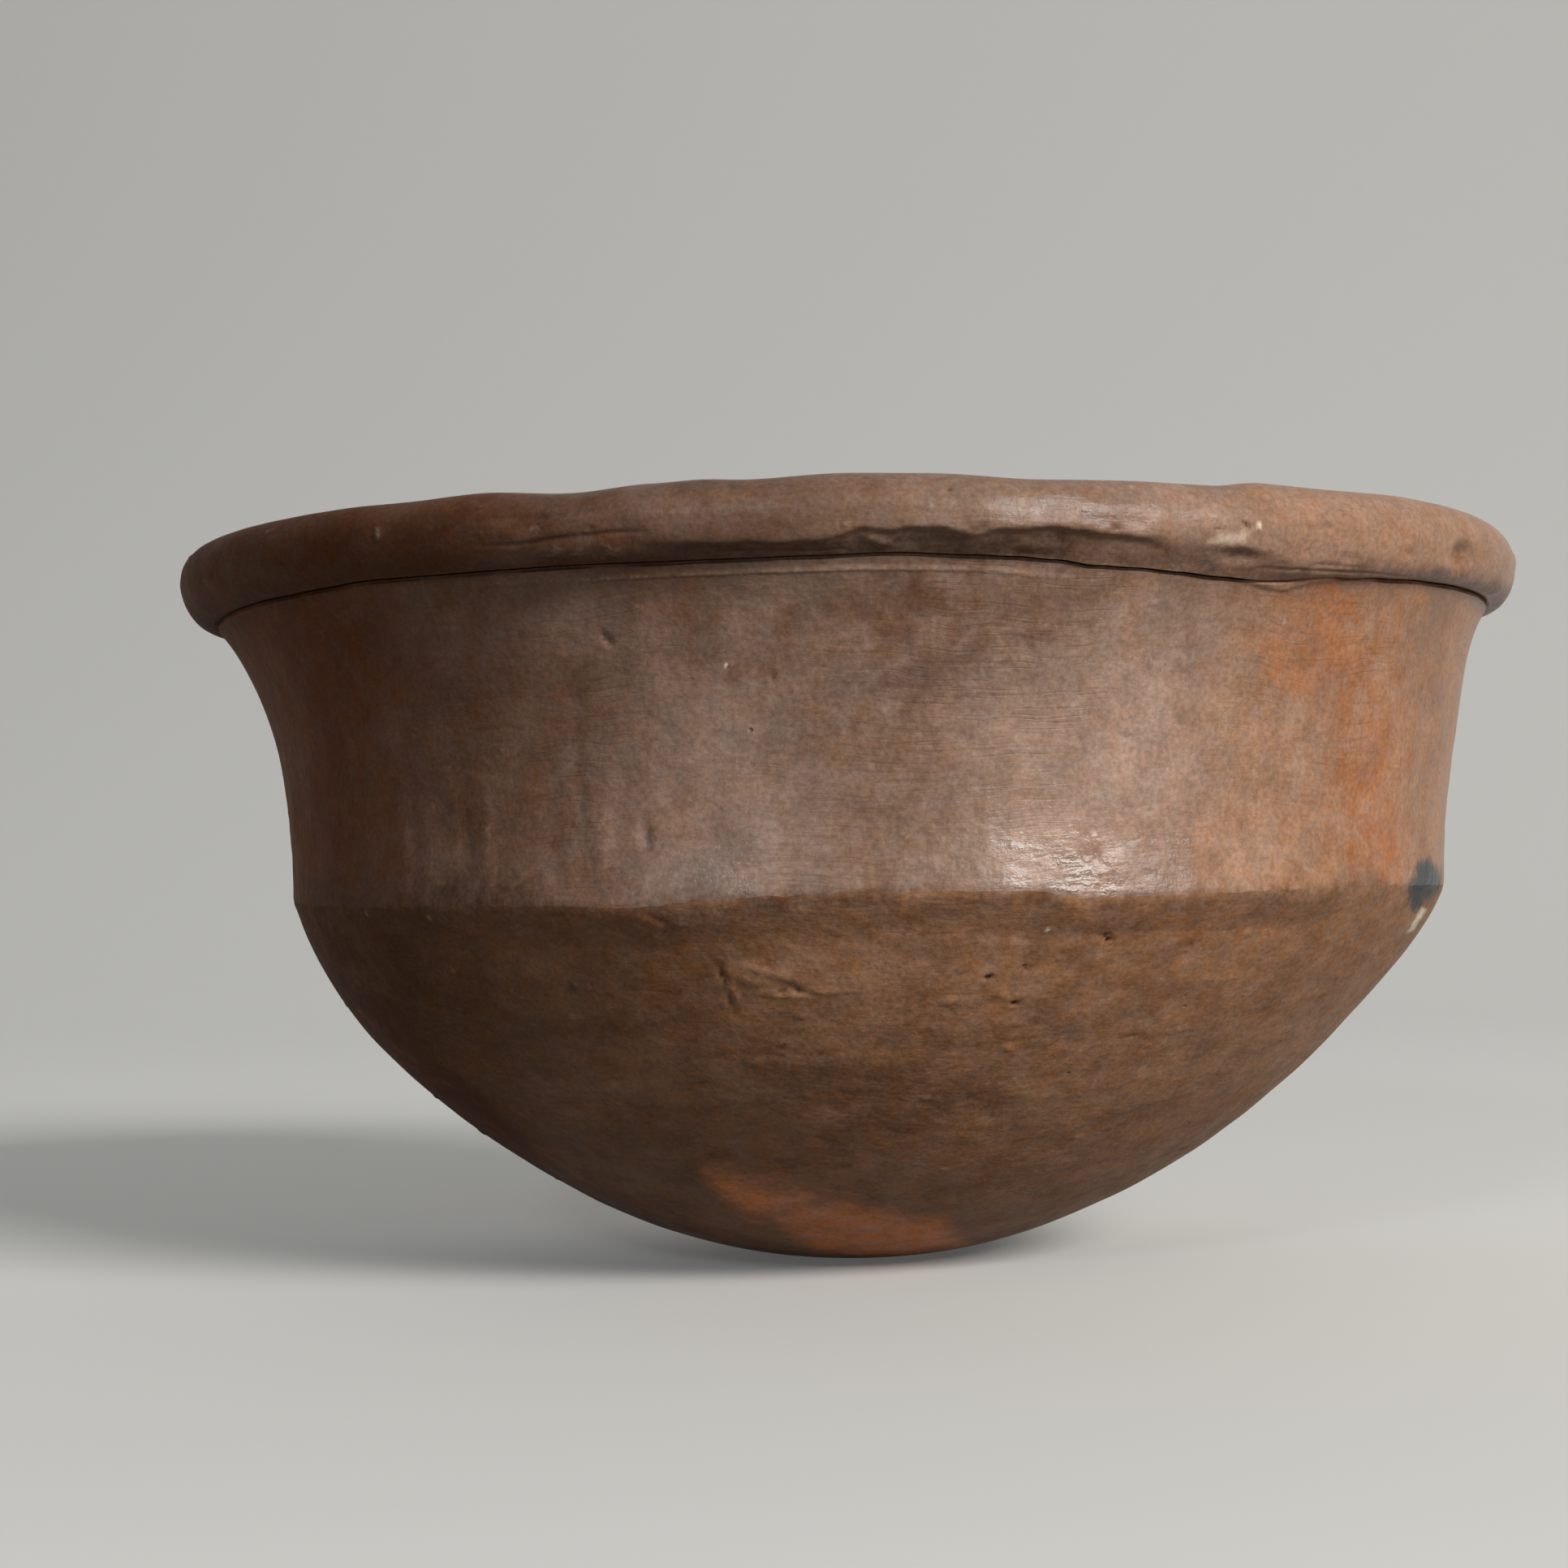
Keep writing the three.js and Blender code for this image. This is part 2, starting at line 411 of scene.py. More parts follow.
# %% Drawing the base
FLOOR_THICKNESS = 8.5 * MM
WALL_THICKNESS = 7 * MM
LAP_DROP = 6 * MM
FLOOR_EVERY = 14
BASE_COLUMNS = 29


def inside_of(outside, thicknesses):
    """The line that lies behind an outside line, square to it, at the thicknesses given."""
    inside = []
    for index, thickness in enumerate(thicknesses):
        before = outside[max(index - 1, 0)]
        after = outside[min(index + 1, len(outside) - 1)]
        run = (after - before).normalized()
        inside.append(outside[index] + Vector((-run.z, 0, run.x)) * thickness)
    return inside


def base_thickness(index):
    return FLOOR_THICKNESS + (WALL_THICKNESS - FLOOR_THICKNESS) * (index / BELLY_STEPS)


belly_inside = inside_of(belly, [base_thickness(index) for index in range(len(belly))])
lapped = [point for point in belly_inside if point.z < BASE_HEIGHT - LAP_DROP]
lap_foot = lapped[-1]
base_profile = (
    [at(0, 0)]
    + belly_skin
    + ridge_round[1 : ridge_middle + 1]
    + lapped[::-FLOOR_EVERY]
    + [at(0, FLOOR_THICKNESS)]
)
base_shape = turned(base_profile, closed=False, steps=BASE_COLUMNS)
put_out_of_true(base_shape)
print("base profile", len(base_profile), "points, shape", len(base_shape.verts), "vertices")

# %% [markdown]
# ## The flared wall
# The wall stands on the bevel. Inside it is smoothed down over the joint, and above the crease it
# ends in a round lip that the roll is seated on. A boolean could cut the lip's groove out of the
# roll later. One outline is drawn instead and used twice, once grown by the gap for the slip.

# %% Drawing the wall
LAP_FAIRING = 12 * MM
FAIRING_STEPS = 8
LIP_HEIGHT = 7 * MM
LIP_THICKNESS = 3.8 * MM
LIP_STEPS = 8
CREASE_DEEP = 0.9 * MM
INSIDE_EVERY = 6

wall_inside = inside_of(wall_face, [WALL_THICKNESS] * len(wall_face))
wall_inside = [point for point in wall_inside if point.z < crease.z]
inner_ledge = wall_inside[-1]
faired = [point for point in wall_inside if point.z > BASE_HEIGHT + LAP_FAIRING]


def lip_outline(clearance):
    half = LIP_THICKNESS / 2 + clearance
    middle = (crease.x + inner_ledge.x) / 2
    springing = crease.z + LIP_HEIGHT - LIP_THICKNESS / 2
    ledge = crease.z + clearance
    arc = [math.pi * step / LIP_STEPS for step in range(LIP_STEPS + 1)]
    top = [at(middle + half * math.cos(turn), springing + half * math.sin(turn)) for turn in arc]
    return [at(middle + half, ledge)] + top + [at(middle - half, ledge)]


mitre = belly_inside[-1]
fairing = interpolate_bezier(faired[0], mitre, mitre, lap_foot, FAIRING_STEPS + 1)
groove_floor = crease - Vector((CREASE_DEEP, 0, 0))
wall_profile = (
    ridge_round[ridge_middle:-1]
    + wall_skin
    + [groove_floor - Vector((0, 0, CREASE_OPEN / 2)), groove_floor]
    + lip_outline(0)
    + faired[::-INSIDE_EVERY]
    + fairing[1:]
)
print("wall profile", len(wall_profile), "points")

# %% [markdown]
# ## The smeared crease
# The crease under the roll is open in most places, but at one tag of clay it is smeared shut, and
# elsewhere it is filled a little. Separate scraps of clay could be laid in it. It is simpler to push
# the floor of the groove out while the wall is put out of true.

# %% Filling the crease
WALL_COLUMNS = 39
TAG_FROM = (math.radians(35), math.radians(38))
TAG_TO = (math.radians(43), math.radians(50))
PATCHY_SIZE = 12 * MM
PATCHY_SHARE = 0.6
PATCHY_SEED = 7


def crease_fill(turn, radius, height):
    """How far smeared clay fills the crease: wholly at the tag, here and there elsewhere."""
    in_groove = abs(radius - groove_floor.x) < CREASE_DEEP / 4 and height > crease.z - CREASE_OPEN
    if not in_groove or height > groove_floor.z + MERGE_DISTANCE:
        return 0.0
    tag = smooth(turn, *TAG_FROM) * (1 - smooth(turn, *TAG_TO))
    patchy = 0.5 + 0.5 * noise.noise(Vector((turn * crease.x / PATCHY_SIZE, PATCHY_SEED, 0)))
    return CREASE_DEEP * max(tag, PATCHY_SHARE * patchy)


wall_shape = turned(wall_profile, closed=True, steps=WALL_COLUMNS)
put_out_of_true(wall_shape, crease_fill)
print("wall shape", len(wall_shape.verts), "vertices")

# %% [markdown]
# ## The rolled rim
# The roll is a thick cord of clay lapped over the lip. A bent cylinder could stand for it, but its
# section is swollen outside, flatter inside and grooved below for the lip. Quarter rounds draw that
# section. The heel stands out a millimetre past the wall, and the open crease beneath it draws the
# dark line under the rim.

# %% Drawing the rim
ROLL_OVERHANG = 6.2 * MM
ROLL_SWELL = 8.5 * MM
ROLL_CREST = 7 * MM
ROLL_INNER_SWELL = 0.6 * MM
LUTE_GAP = 0.3 * MM
HEEL_LIFT = 0.1 * MM
HEEL_OUT = 1.0 * MM
HEEL_STEPS = 6
FACE_STEPS = 36
INNER_STEPS = 14
RIM_COLUMNS = 54

underside = crease.z + LUTE_GAP
heel_top = at(crease.x, underside)
heel = at(crease.x + HEEL_OUT, crease.z + HEEL_LIFT)
widest = at(crease.x + ROLL_OVERHANG, crease.z + ROLL_SWELL)
crest = at(widest.x - ROLL_CREST, rim_top)
inner = at(inner_ledge.x - ROLL_INNER_SWELL, widest.z)
toe = at(inner_ledge.x, underside)
rim_profile = (
    quarter_round(heel_top, at(heel_top.x, heel.z), heel, HEEL_STEPS)
    + quarter_round(heel, at(widest.x, heel.z), widest, FACE_STEPS)[1:]
    + quarter_round(widest, at(widest.x, crest.z), crest, FACE_STEPS)[1:]
    + quarter_round(crest, at(inner.x, crest.z), inner, INNER_STEPS)[1:]
    + [toe]
    + lip_outline(LUTE_GAP)[::-1]
)
rim_shape = turned(rim_profile, closed=True, steps=RIM_COLUMNS)
put_out_of_true(rim_shape)
print("rim profile", len(rim_profile), "points, shape", len(rim_shape.verts), "vertices")

# %% [markdown]
# ## Lumps
# Smoothed clay is never even: the skin swells and sinks by a few tenths of a millimetre. A displace
# modifier with a noise texture would raise it too. Moving the vertices by a noise of their place
# gives the same lumps, and lets them fade where two members meet.

# %% Lumps of the skin
SLOW_LUMP = 0.34 * MM
SLOW_SIZE = 30 * MM
QUICK_LUMP = 0.10 * MM
QUICK_SIZE = 9 * MM


def turn_at(place):
    """The turn round the bowl at a place, 0 in front."""
    return math.atan2(place.x - ring_drift(place.z), -place.y)


def outward(place):
    """The way out of the clay: square to the axis above the ridge, down and out below it."""
    sunk = min(place.z - BASE_HEIGHT, 0)
    return Vector((place.x - ring_drift(place.z), place.y, sunk)).normalized()


def lumps(place, slow, quick):
    return slow * noise.noise(place / SLOW_SIZE) + quick * noise.noise(place / QUICK_SIZE)


print("lumps stand up to", round((SLOW_LUMP + QUICK_LUMP) / MM, 2), "mm")

# %% [markdown]
# ## Facets over the ridge
# A scraper drawn upwards from the ridge leaves flat facets between faint upright edges. They could be
# cut with bisecting planes. Here the edges are picked as pixels in front and spaced evenly behind,
# and the depth of a chord behind its arc says how far each vertex goes in.

# %% Facets
FACET_SIGHT_RISE = 6 * MM
FACET_PIXELS = [
    (500, 1060), (590, 1060), (655, 1060), (735, 1060), (800, 1060), (940, 1060), (1085, 1060),
    (1212, 1060), (1395, 1060), (1470, 1060), (1600, 1060), (1700, 1060),
]
FACET_TURN = math.radians(13)

facet_edges = [on_cylinder(pixel, carination.x, carination.z + FACET_SIGHT_RISE)[0] for pixel in FACET_PIXELS]
while facet_edges[-1] < math.pi:
    facet_edges.append(facet_edges[-1] + FACET_TURN)
while facet_edges[0] > -math.pi:
    facet_edges.insert(0, facet_edges[0] - FACET_TURN)


def facet_depth(turn, radius):
    """How far a flat facet lies behind the round wall at a turn."""
    for left, right in zip(facet_edges, facet_edges[1:]):
        if turn <= right:
            half, middle = (right - left) / 2, (right + left) / 2
            return radius * (1 - math.cos(half) / math.cos(turn - middle))
    return 0.0


print(len(facet_edges) - 1, "facets")

# %% [markdown]
# ## The splayed foot of the wall
# Just above the ridge the wall splays out in front, and the facets run down into the splay. The
# profile could be bent to it, but the splay belongs to the front alone. So it is added by turn and
# height, together with the facets and the lumps, and nothing moves at the flat or at the lip.

# %% Relief of base and wall
SPLAY_SLOPE = 0.19
SPLAY_STRAIGHT = 8 * MM
SPLAY_EASING = 14 * MM
SPLAY_BELOW = 8 * MM
SPLAY_FRONT = (math.radians(38), math.radians(62))
FACET_FULL = 7 * MM
FACET_TOP = 42 * MM
FACET_SHARE = 0.52
FACET_STRAY = math.radians(2.6)
FACET_STRAY_SIZE = 6 * MM
FLAT_FADE = 12 * MM
LIP_CLEAR = 5 * MM


def splay(above):
    """How far the wall stands out at a height above the ridge: a straight foot that eases off."""
    straight = max(SPLAY_STRAIGHT - max(above, 0), 0)
    eased = min(max(SPLAY_STRAIGHT + SPLAY_EASING - above, 0), SPLAY_EASING)
    return SPLAY_SLOPE * (straight + eased**2 / (2 * SPLAY_EASING))


def ridge_relief(turn, place):
    above = place.z - BASE_HEIGHT - along_line(ridge_line, turn)
    near = 1 if above > 0 else 1 - smooth(-above, 0, SPLAY_BELOW)
    front = 1 - smooth(abs(turn), *SPLAY_FRONT)
    facet = 0.0
    if above > -SPLAY_BELOW:
        faded = 1 - smooth(above, FACET_FULL, FACET_TOP)
        rising = smooth(above, -SPLAY_BELOW, 0)
        stray = FACET_STRAY * noise.noise(place / FACET_STRAY_SIZE)
        facet = FACET_SHARE * facet_depth(turn + stray, CARINATION_RADIUS) * faded * rising
    return splay(above) * near * front - facet


def roughen(title, shape):
    moves = []
    for vertex in shape.verts:
        place = vertex.co.copy()
        kept = smooth(place.z, 0, FLAT_FADE) * (1 - smooth(place.z, crease.z - LIP_CLEAR, crease.z))
        move = kept * (lumps(place, SLOW_LUMP, QUICK_LUMP) + ridge_relief(turn_at(place), place))
        vertex.co += outward(place) * move
        moves.append(move / MM)
    print(title, "moves from", round(min(moves), 2), "to", round(max(moves), 2), "mm")


roughen("base", base_shape)
roughen("wall", wall_shape)

# %% [markdown]
# ## The fold of the rim
# In front the roll's edge was folded down over the wall: a lobe stands above a wavering edge, and a
# band below it is pressed in. A crease could be sculpted there. The fold's edge is picked as pixels,
# and under it the clay is cut back to a slope that runs down to the crease. To the right the step
# softens and dies away.

# %% Folding the rim
FOLD_PIXELS = [
    (750, 662), (775, 665), (800, 667), (900, 666), (1000, 664), (1040, 656), (1070, 650),
    (1150, 648), (1200, 656), (1250, 651), (1300, 648), (1335, 652), (1370, 657), (1420, 660),
    (1470, 663), (1520, 667), (1560, 674), (1610, 690),
]
FOLD_STEP = 1.3 * MM
SOFT_STEP = 0.5
FOLD_SWELL = 0.4 * MM
BAND_FOOT = 0.6 * MM
FOLD_CRISP = 0.7 * MM
FOLD_SOFT = 4.2 * MM
FOLD_OVER = 0.4
LOBE_OVER = 4
FOLD_LEFT = (math.radians(-14.5), math.radians(-9.5))
FOLD_RIGHT = (math.radians(33), math.radians(45))
FOLD_SOFTENS = (math.radians(21.5), math.radians(25))
FOLD_STRAY = 0.5 * MM
FOLD_STRAY_SIZE = 5 * MM

fold_line = [on_cylinder(pixel, widest.x, crease.z) for pixel in FOLD_PIXELS]


def fold_push(turn, radius, height):
    """How far the clay under the fold is pressed in: a straight slope from the fold to the crease."""
    opened = smooth(turn, *FOLD_LEFT) * (1 - smooth(turn, *FOLD_RIGHT))
    if opened == 0:
        return 0.0
    soft = smooth(turn, *FOLD_SOFTENS)
    crisp = FOLD_CRISP + (FOLD_SOFT - FOLD_CRISP) * soft
    step = FOLD_STEP * (1 - SOFT_STEP * soft)
    stray = noise.noise(Vector((turn * widest.x / FOLD_STRAY_SIZE, 0, 0)))
    edge = along_line(fold_line, turn) + FOLD_STRAY * stray
    foot = crease.z + along_line(crease_line, turn)
    rise = min(max((height - foot) / (edge - foot), 0), 1)
    slope = crease.x + BAND_FOOT + (widest.x - step - crease.x - BAND_FOOT) * rise
    under = 1 - smooth(height, edge - crisp, edge + FOLD_OVER * crisp)
    lobe = smooth(height, edge - crisp, edge) * (1 - smooth(height, edge, edge + LOBE_OVER * crisp))
    return opened * (max(radius - slope, 0) * under - FOLD_SWELL * (1 - soft) * lobe)


print("the fold is picked at", len(fold_line), "points")

# %% [markdown]
# ## The relief of the rim
# The roll is lumpier than the wall, because it was only smoothed with wet clay. Its groove must stay
# as it is, so that it still seats on the lip. A vertex group could protect it. Here the radius and
# the height tell the outside from the groove.

# %% Relief of the rim
RIM_SLOW_LUMP = 0.35 * MM
RIM_QUICK_LUMP = 0.22 * MM
GROOVE_WALL = 132.4 * MM
GROOVE_CLEAR = 1.6 * MM
LIP_COVER = (1 * MM, 3 * MM)


def roughen_rim(shape):
    for vertex in shape.verts:
        place = vertex.co.copy()
        radius = math.hypot(place.x - ring_drift(place.z), place.y)
        outside = smooth(radius, GROOVE_WALL, GROOVE_WALL + GROOVE_CLEAR)
        over = smooth(place.z, *(crease.z + LIP_HEIGHT + cover for cover in LIP_COVER))
        folded = outside * fold_push(turn_at(place), radius, place.z)
        move = lumps(place, RIM_SLOW_LUMP, RIM_QUICK_LUMP) - folded
        vertex.co += outward(place) * max(outside, over) * move


roughen_rim(rim_shape)
print("rim top at", round(max(vertex.co.z for vertex in rim_shape.verts) / MM, 2), "mm")

# %% [markdown]
# ## Finding a spot on the clay
# A mark needs the vertices round one spot of one member. Sculpting would find them under a brush,
# but then the marks couldn't be listed or made again. So a ray finds the spot, along a sight line or
# at a turn and a height, and a tree of the vertices finds its neighbours. A mark can also leave
# tints, numbers on the vertices that the clay's material reads later: grime in hollows, which also
# paints their shade; wear where clay was rubbed pale, which on a facet, a bulge and a dent's lip also
# paints a highlight; ember and soot where the fire coloured it; lime in grains; and polish.

# %% Clay that can be marked
# the grime tint is dirt and also painted shade in hollows; the wear tint also paints highlights
TINTS = ("grime_and_shade", "wear_and_highlight", "ember", "soot", "lime", "polish")
OUT_OF_REACH = 300 * MM
SKIN_DEPTH = 5 * MM


class Clay:
    """A member's vertices and faces, ready to be found by distance and by sight line."""

    def __init__(self, shape):
        self.shape = shape
        for tint in TINTS:
            shape.verts.layers.float.new(tint)
        self.layers = {tint: shape.verts.layers.float[tint] for tint in TINTS}
        shape.normal_update()
        shape.verts.ensure_lookup_table()
        self.tree = KDTree(len(shape.verts))
        for index, vertex in enumerate(shape.verts):
            self.tree.insert(vertex.co, index)
        self.tree.balance()
        self.faces = BVHTree.FromBMesh(shape)

    def spot(self, pixel):
        place, normal, _, _ = self.faces.ray_cast(CAMERA_PLACE, sight_line(pixel))
        return place, normal

    def spot_round(self, turn, height):
        away = Vector((math.sin(turn), -math.cos(turn), 0))
        start = Vector((ring_drift(height), 0, height)) + away * OUT_OF_REACH
        place, normal, _, _ = self.faces.ray_cast(start, -away)
        return place, normal

    def near(self, centre, normal, reach):
        """Places and indices of the vertices near a spot, in its own skin and not in one behind it."""
        kept = []
        for place, index, _ in self.tree.find_range(centre, reach):
            facing = self.shape.verts[index].normal.dot(normal) > 0
            if facing and (centre - place).dot(normal) < SKIN_DEPTH:
                kept.append((place, index))
        return kept

    def move(self, index, way, share, tints):
        vertex = self.shape.verts[index]
        vertex.co += way * share
        for tint, amount in tints.items():
            layer = self.layers[tint]
            vertex[layer] = max(vertex[layer], amount * share)


rim_clay = Clay(rim_shape)
wall_clay = Clay(wall_shape)
base_clay = Clay(base_shape)
print("tints:", ", ".join(TINTS))

# %% [markdown]
# ## Presses
# A press is an oval dent, as a pebble or a crumb of grit leaves it, or a lump where its depth is
# negative. A bump in the material could shade it, but a dent on the rim shows in the outline, so the
# vertices are moved along the normal of the spot, most in the middle and not at all at the edge.

# %% Pressing
def press(clay, spot, width, height, depth, tilt, tints):
    centre, normal = spot
    leaning = Matrix.Rotation(math.radians(tilt), 3, normal)
    level = UP.cross(normal).normalized()
    along = leaning @ level
    rise = leaning @ normal.cross(level)
    for place, index in clay.near(centre, normal, max(width, height) * MM / 2):
        offset = (place - centre) * 2 / MM
        away = math.hypot(offset.dot(along) / width, offset.dot(rise) / height)
        clay.move(index, normal * -depth * MM, 1 - smooth(away, 0, 1), tints)


wall_front = wall_clay.spot_round(0, BASE_HEIGHT + WALL_HEIGHT / 2)
print("a press 4 mm wide moves", len(wall_clay.near(*wall_front, 2 * MM)), "vertices of the wall's front")

# %% [markdown]
# ## Scores
# A score is a groove along a line of spots, as a stick or a lap of clay leaves it, or a raised line
# where its depth is negative. A curve with a bevel could be cut out of the mesh. Here every vertex
# takes the deepest cut of the legs that pass it, and the cut tapers to both ends, so the legs join
# without a knot.

# %% Scoring
def tapered(share):
    """How deep a score is at a share of its length: nothing at both ends, all of it halfway."""
    return math.sin(math.pi * share) ** 0.5


def score(clay, spots, width, depth, tints):
    half = width * MM / 2
    cuts = {}
    for leg, ((start, normal), (end, _)) in enumerate(zip(spots, spots[1:])):
        run = end - start
        for place, index in clay.near((start + end) / 2, normal, run.length / 2 + half):
            share = min(max((place - start).dot(run) / run.length_squared, 0), 1)
            taper = tapered((leg + share) / (len(spots) - 1))
            cut = taper * (1 - smooth((place - start - run * share).length, 0, half))
            if cut > cuts.get(index, (0, normal))[0]:
                cuts[index] = (cut, normal)
    for index, (cut, normal) in cuts.items():
        clay.move(index, normal * -depth * MM, cut, tints)


print("a tenth of the way along, a score has", round(tapered(0.1), 2), "of its depth")

# %% [markdown]
# ## Patches
# A patch is a smear, a flake, a fire cloud or a flat rubbed on the roll: any shape that an outline of
# pixels can give. A painted mask could hold it, but it would be a picture. Each vertex is looked up
# in the outline instead, and is raised, pressed in, tinted, or laid on a plane that is tipped up and
# round.

# %% Patching
PATCH_SPREAD = 0.5 * MM


def depth_inside(pixel, outline):
    """Distance in pixels from a pixel to an outline, positive inside it."""
    nearest, inside = math.inf, False
    for first, second in zip(outline, outline[1:] + outline[:1]):
        start, end = Vector(first), Vector(second)
        run = end - start
        share = min(max((pixel - start).dot(run) / run.length_squared, 0), 1)
        nearest = min(nearest, (pixel - start - run * share).length)
        if (start.y > pixel.y) != (end.y > pixel.y):
            crossing = start.x + (pixel.y - start.y) / run.y * run.x
            inside = inside != (pixel.x < crossing)
    return nearest if inside else -nearest


def patch(clay, outline, depth, edge, tints, tip=None):
    middle = sum((Vector(pixel) for pixel in outline), Vector((0, 0))) / len(outline)
    centre, normal = clay.spot(middle)
    level = UP.cross(normal).normalized()
    rise = normal.cross(level)
    reach = max((Vector(pixel) - middle).length for pixel in outline) + edge
    if tip:
        lean, swing = (math.tan(math.radians(angle)) for angle in tip)
        plane = (normal + rise * lean + level * swing).normalized()
    for place, index in clay.near(centre, normal, reach * PATCH_SPREAD):
        share = smooth(depth_inside(pixel_of(place), outline), -edge, edge)
        if share > 0:
            sunk = depth * MM + ((place - centre).dot(plane) if tip else 0)
            clay.move(index, (plane if tip else normal) * -sunk, share, tints)


square = [(0, 0), (40, 0), (40, 40), (0, 40)]
print("the middle of a 40 pixel square lies", depth_inside(Vector((20, 20)), square), "pixels inside it")

# %% [markdown]
# ## Marks on the rim
# The roll shows most of the making: lap lines, a band under the fold painted dark as its shade, a facet
# whose pale tint is both wear and painted highlight, and a deep dent at the right with painted shade
# inside and a painted highlight on its lip. The marks could be strewn by chance, but these are the ones
# that tell this bowl from another, so they are listed. A score has a line of pixels, a width and a
# depth. A press has a pixel, width, height and depth in millimetres, and a tilt in degrees. A patch has
# an outline, a depth and the softness of its edge in pixels. Each ends in its tints, and a flat also in
# its tip.

# %% Marks on the rim
RIM_SCORES = {
    "lap line": ([(590, 673), (640, 671), (700, 662), (760, 656), (800, 656)], 1.5, 0.45, {"grime_and_shade": 0.45}),
    "upper lap": ([(600, 641), (680, 637), (740, 629), (790, 622)], 2.4, 0.35, {"grime_and_shade": 0.3}),
    "crack": ([(1610, 664), (1606, 674), (1611, 685)], 1.2, 0.45, {"grime_and_shade": 0.6}),
    "finger line": ([(1590, 648), (1620, 651), (1645, 650)], 1.5, 0.3, {"grime_and_shade": 0.35}),
    "cut over the facet": ([(1527, 639), (1536, 645), (1546, 652)], 1.4, 0.35, {"grime_and_shade": 0.6}),
    "edge over the facet": ([(1494, 652), (1504, 650), (1512, 655)], 1.3, 0.25, {"grime_and_shade": 0.5}),
    "wrinkle over the crease": (
        [(1545, 700), (1600, 702), (1680, 706), (1740, 711)], 1.3, 0.35, {"grime_and_shade": 0.5},
    ),
    "second wrinkle": ([(1570, 693), (1630, 696), (1690, 700)], 1.2, 0.25, {"grime_and_shade": 0.4}),
    "line in the band": ([(880, 680), (960, 679), (1040, 676)], 1.3, 0.3, {"grime_and_shade": 0.4}),
}
RIM_PRESSES = {
    "swelling under the lap": ((706, 674), 21, 5.4, -0.5, 7, {}),
    "thumb dip": ((655, 650), 9, 5, 0.5, 20, {"wear_and_highlight": 0.3}),
    "smear over the fold": ((1080, 664), 9, 4.4, -0.8, -28, {"wear_and_highlight": 0.2}),
    "bulge in the band": ((1282, 672), 13, 4.2, -0.5, 0, {"wear_and_highlight": 0.2}),
    "nub": ((1184, 606), 3.6, 3, -0.3, 0, {}),
    "pit by the nub": ((1171, 603), 2.4, 2.2, 0.35, 0, {"grime_and_shade": 0.6}),
    "pock": ((1377, 651), 3.6, 2.4, 0.4, -20, {"grime_and_shade": 0.5}),
    "nick in the fold": ((1208, 653), 5, 3, 0.5, 20, {"grime_and_shade": 0.4}),
    "bright chip by the facet": ((1551, 648), 2.2, 3.2, -0.2, 0, {"lime": 0.75}),
    # the hollow under the facet and the thumb dent take grime that is painted shade
    "hollow under the facet": ((1528, 686), 15, 5, 0.9, -6, {"grime_and_shade": 0.45}),
    "thumb dent": ((1804, 687), 16, 8.5, 2.4, 0, {"grime_and_shade": 0.3}),
    # the dent's lip is tinted pale as a painted highlight
    "lip of the dent": ((1780, 697), 7, 4.5, -0.5, 0, {"wear_and_highlight": 0.4}),
    "dip": ((1738, 683), 6, 3, 0.4, 0, {}),
    "long dip": ((1665, 688), 9, 3, 0.35, 0, {"grime_and_shade": 0.2}),
    "scar": ((466, 657), 2.2, 4.5, -0.4, 0, {"wear_and_highlight": 0.4}),
}
RIM_PATCHES = {
    "polished face": (
        [(1200, 612), (1325, 608), (1338, 634), (1255, 644), (1205, 642)], 0.15, 22, {"polish": 0.35}, (7, 3),
    ),
    # the facet's pale tint is partly wear and partly a painted highlight
    "facet": ([(1488, 669), (1502, 656), (1543, 654), (1532, 671)], 0.25, 8, {"wear_and_highlight": 0.9}, (6, -4)),
    # the band under the fold is painted dark as the shade under the lobe
    "shaded band under the fold": (
        [(790, 667), (1000, 667), (1050, 660), (1150, 655), (1210, 662), (1300, 655), (1335, 662),
         (1315, 692), (1200, 685), (1000, 686), (800, 694)],
        0, 9, {"grime_and_shade": 0.58},
    ),
    # the bulge's pale tint is partly painted light where the lamp falls on it
    "bulge under the lap": (
        [(648, 682), (690, 669), (740, 664), (772, 671), (764, 688), (700, 692)], -0.4, 9, {"wear_and_highlight": 0.2},
    ),
}


def lay_marks(clay, scores, presses, patches):
    for outline, depth, edge, tints, *tip in patches.values():
        patch(clay, outline, depth, edge, tints, *tip)
    for pixels, width, depth, tints in scores.values():
        score(clay, [clay.spot(pixel) for pixel in pixels], width, depth, tints)
    for pixel, width, height, depth, tilt, tints in presses.values():
        press(clay, clay.spot(pixel), width, height, depth, tilt, tints)
    print(len(patches), "patches,", len(scores), "scores,", len(presses), "presses")


lay_marks(rim_clay, RIM_SCORES, RIM_PRESSES, RIM_PATCHES)

# %% [markdown]
# ## Marks on the wall
# The wall was scraped upright and burnished level, so its marks are shallow: bands of the scraper, a
# raised line under the rim, the tag of smeared clay, a few pocks. Bump alone could give the
# shallowest. They are moved like the rest, because the low light catches them along their edges. Two
# polished flats over the ridge take the shine.

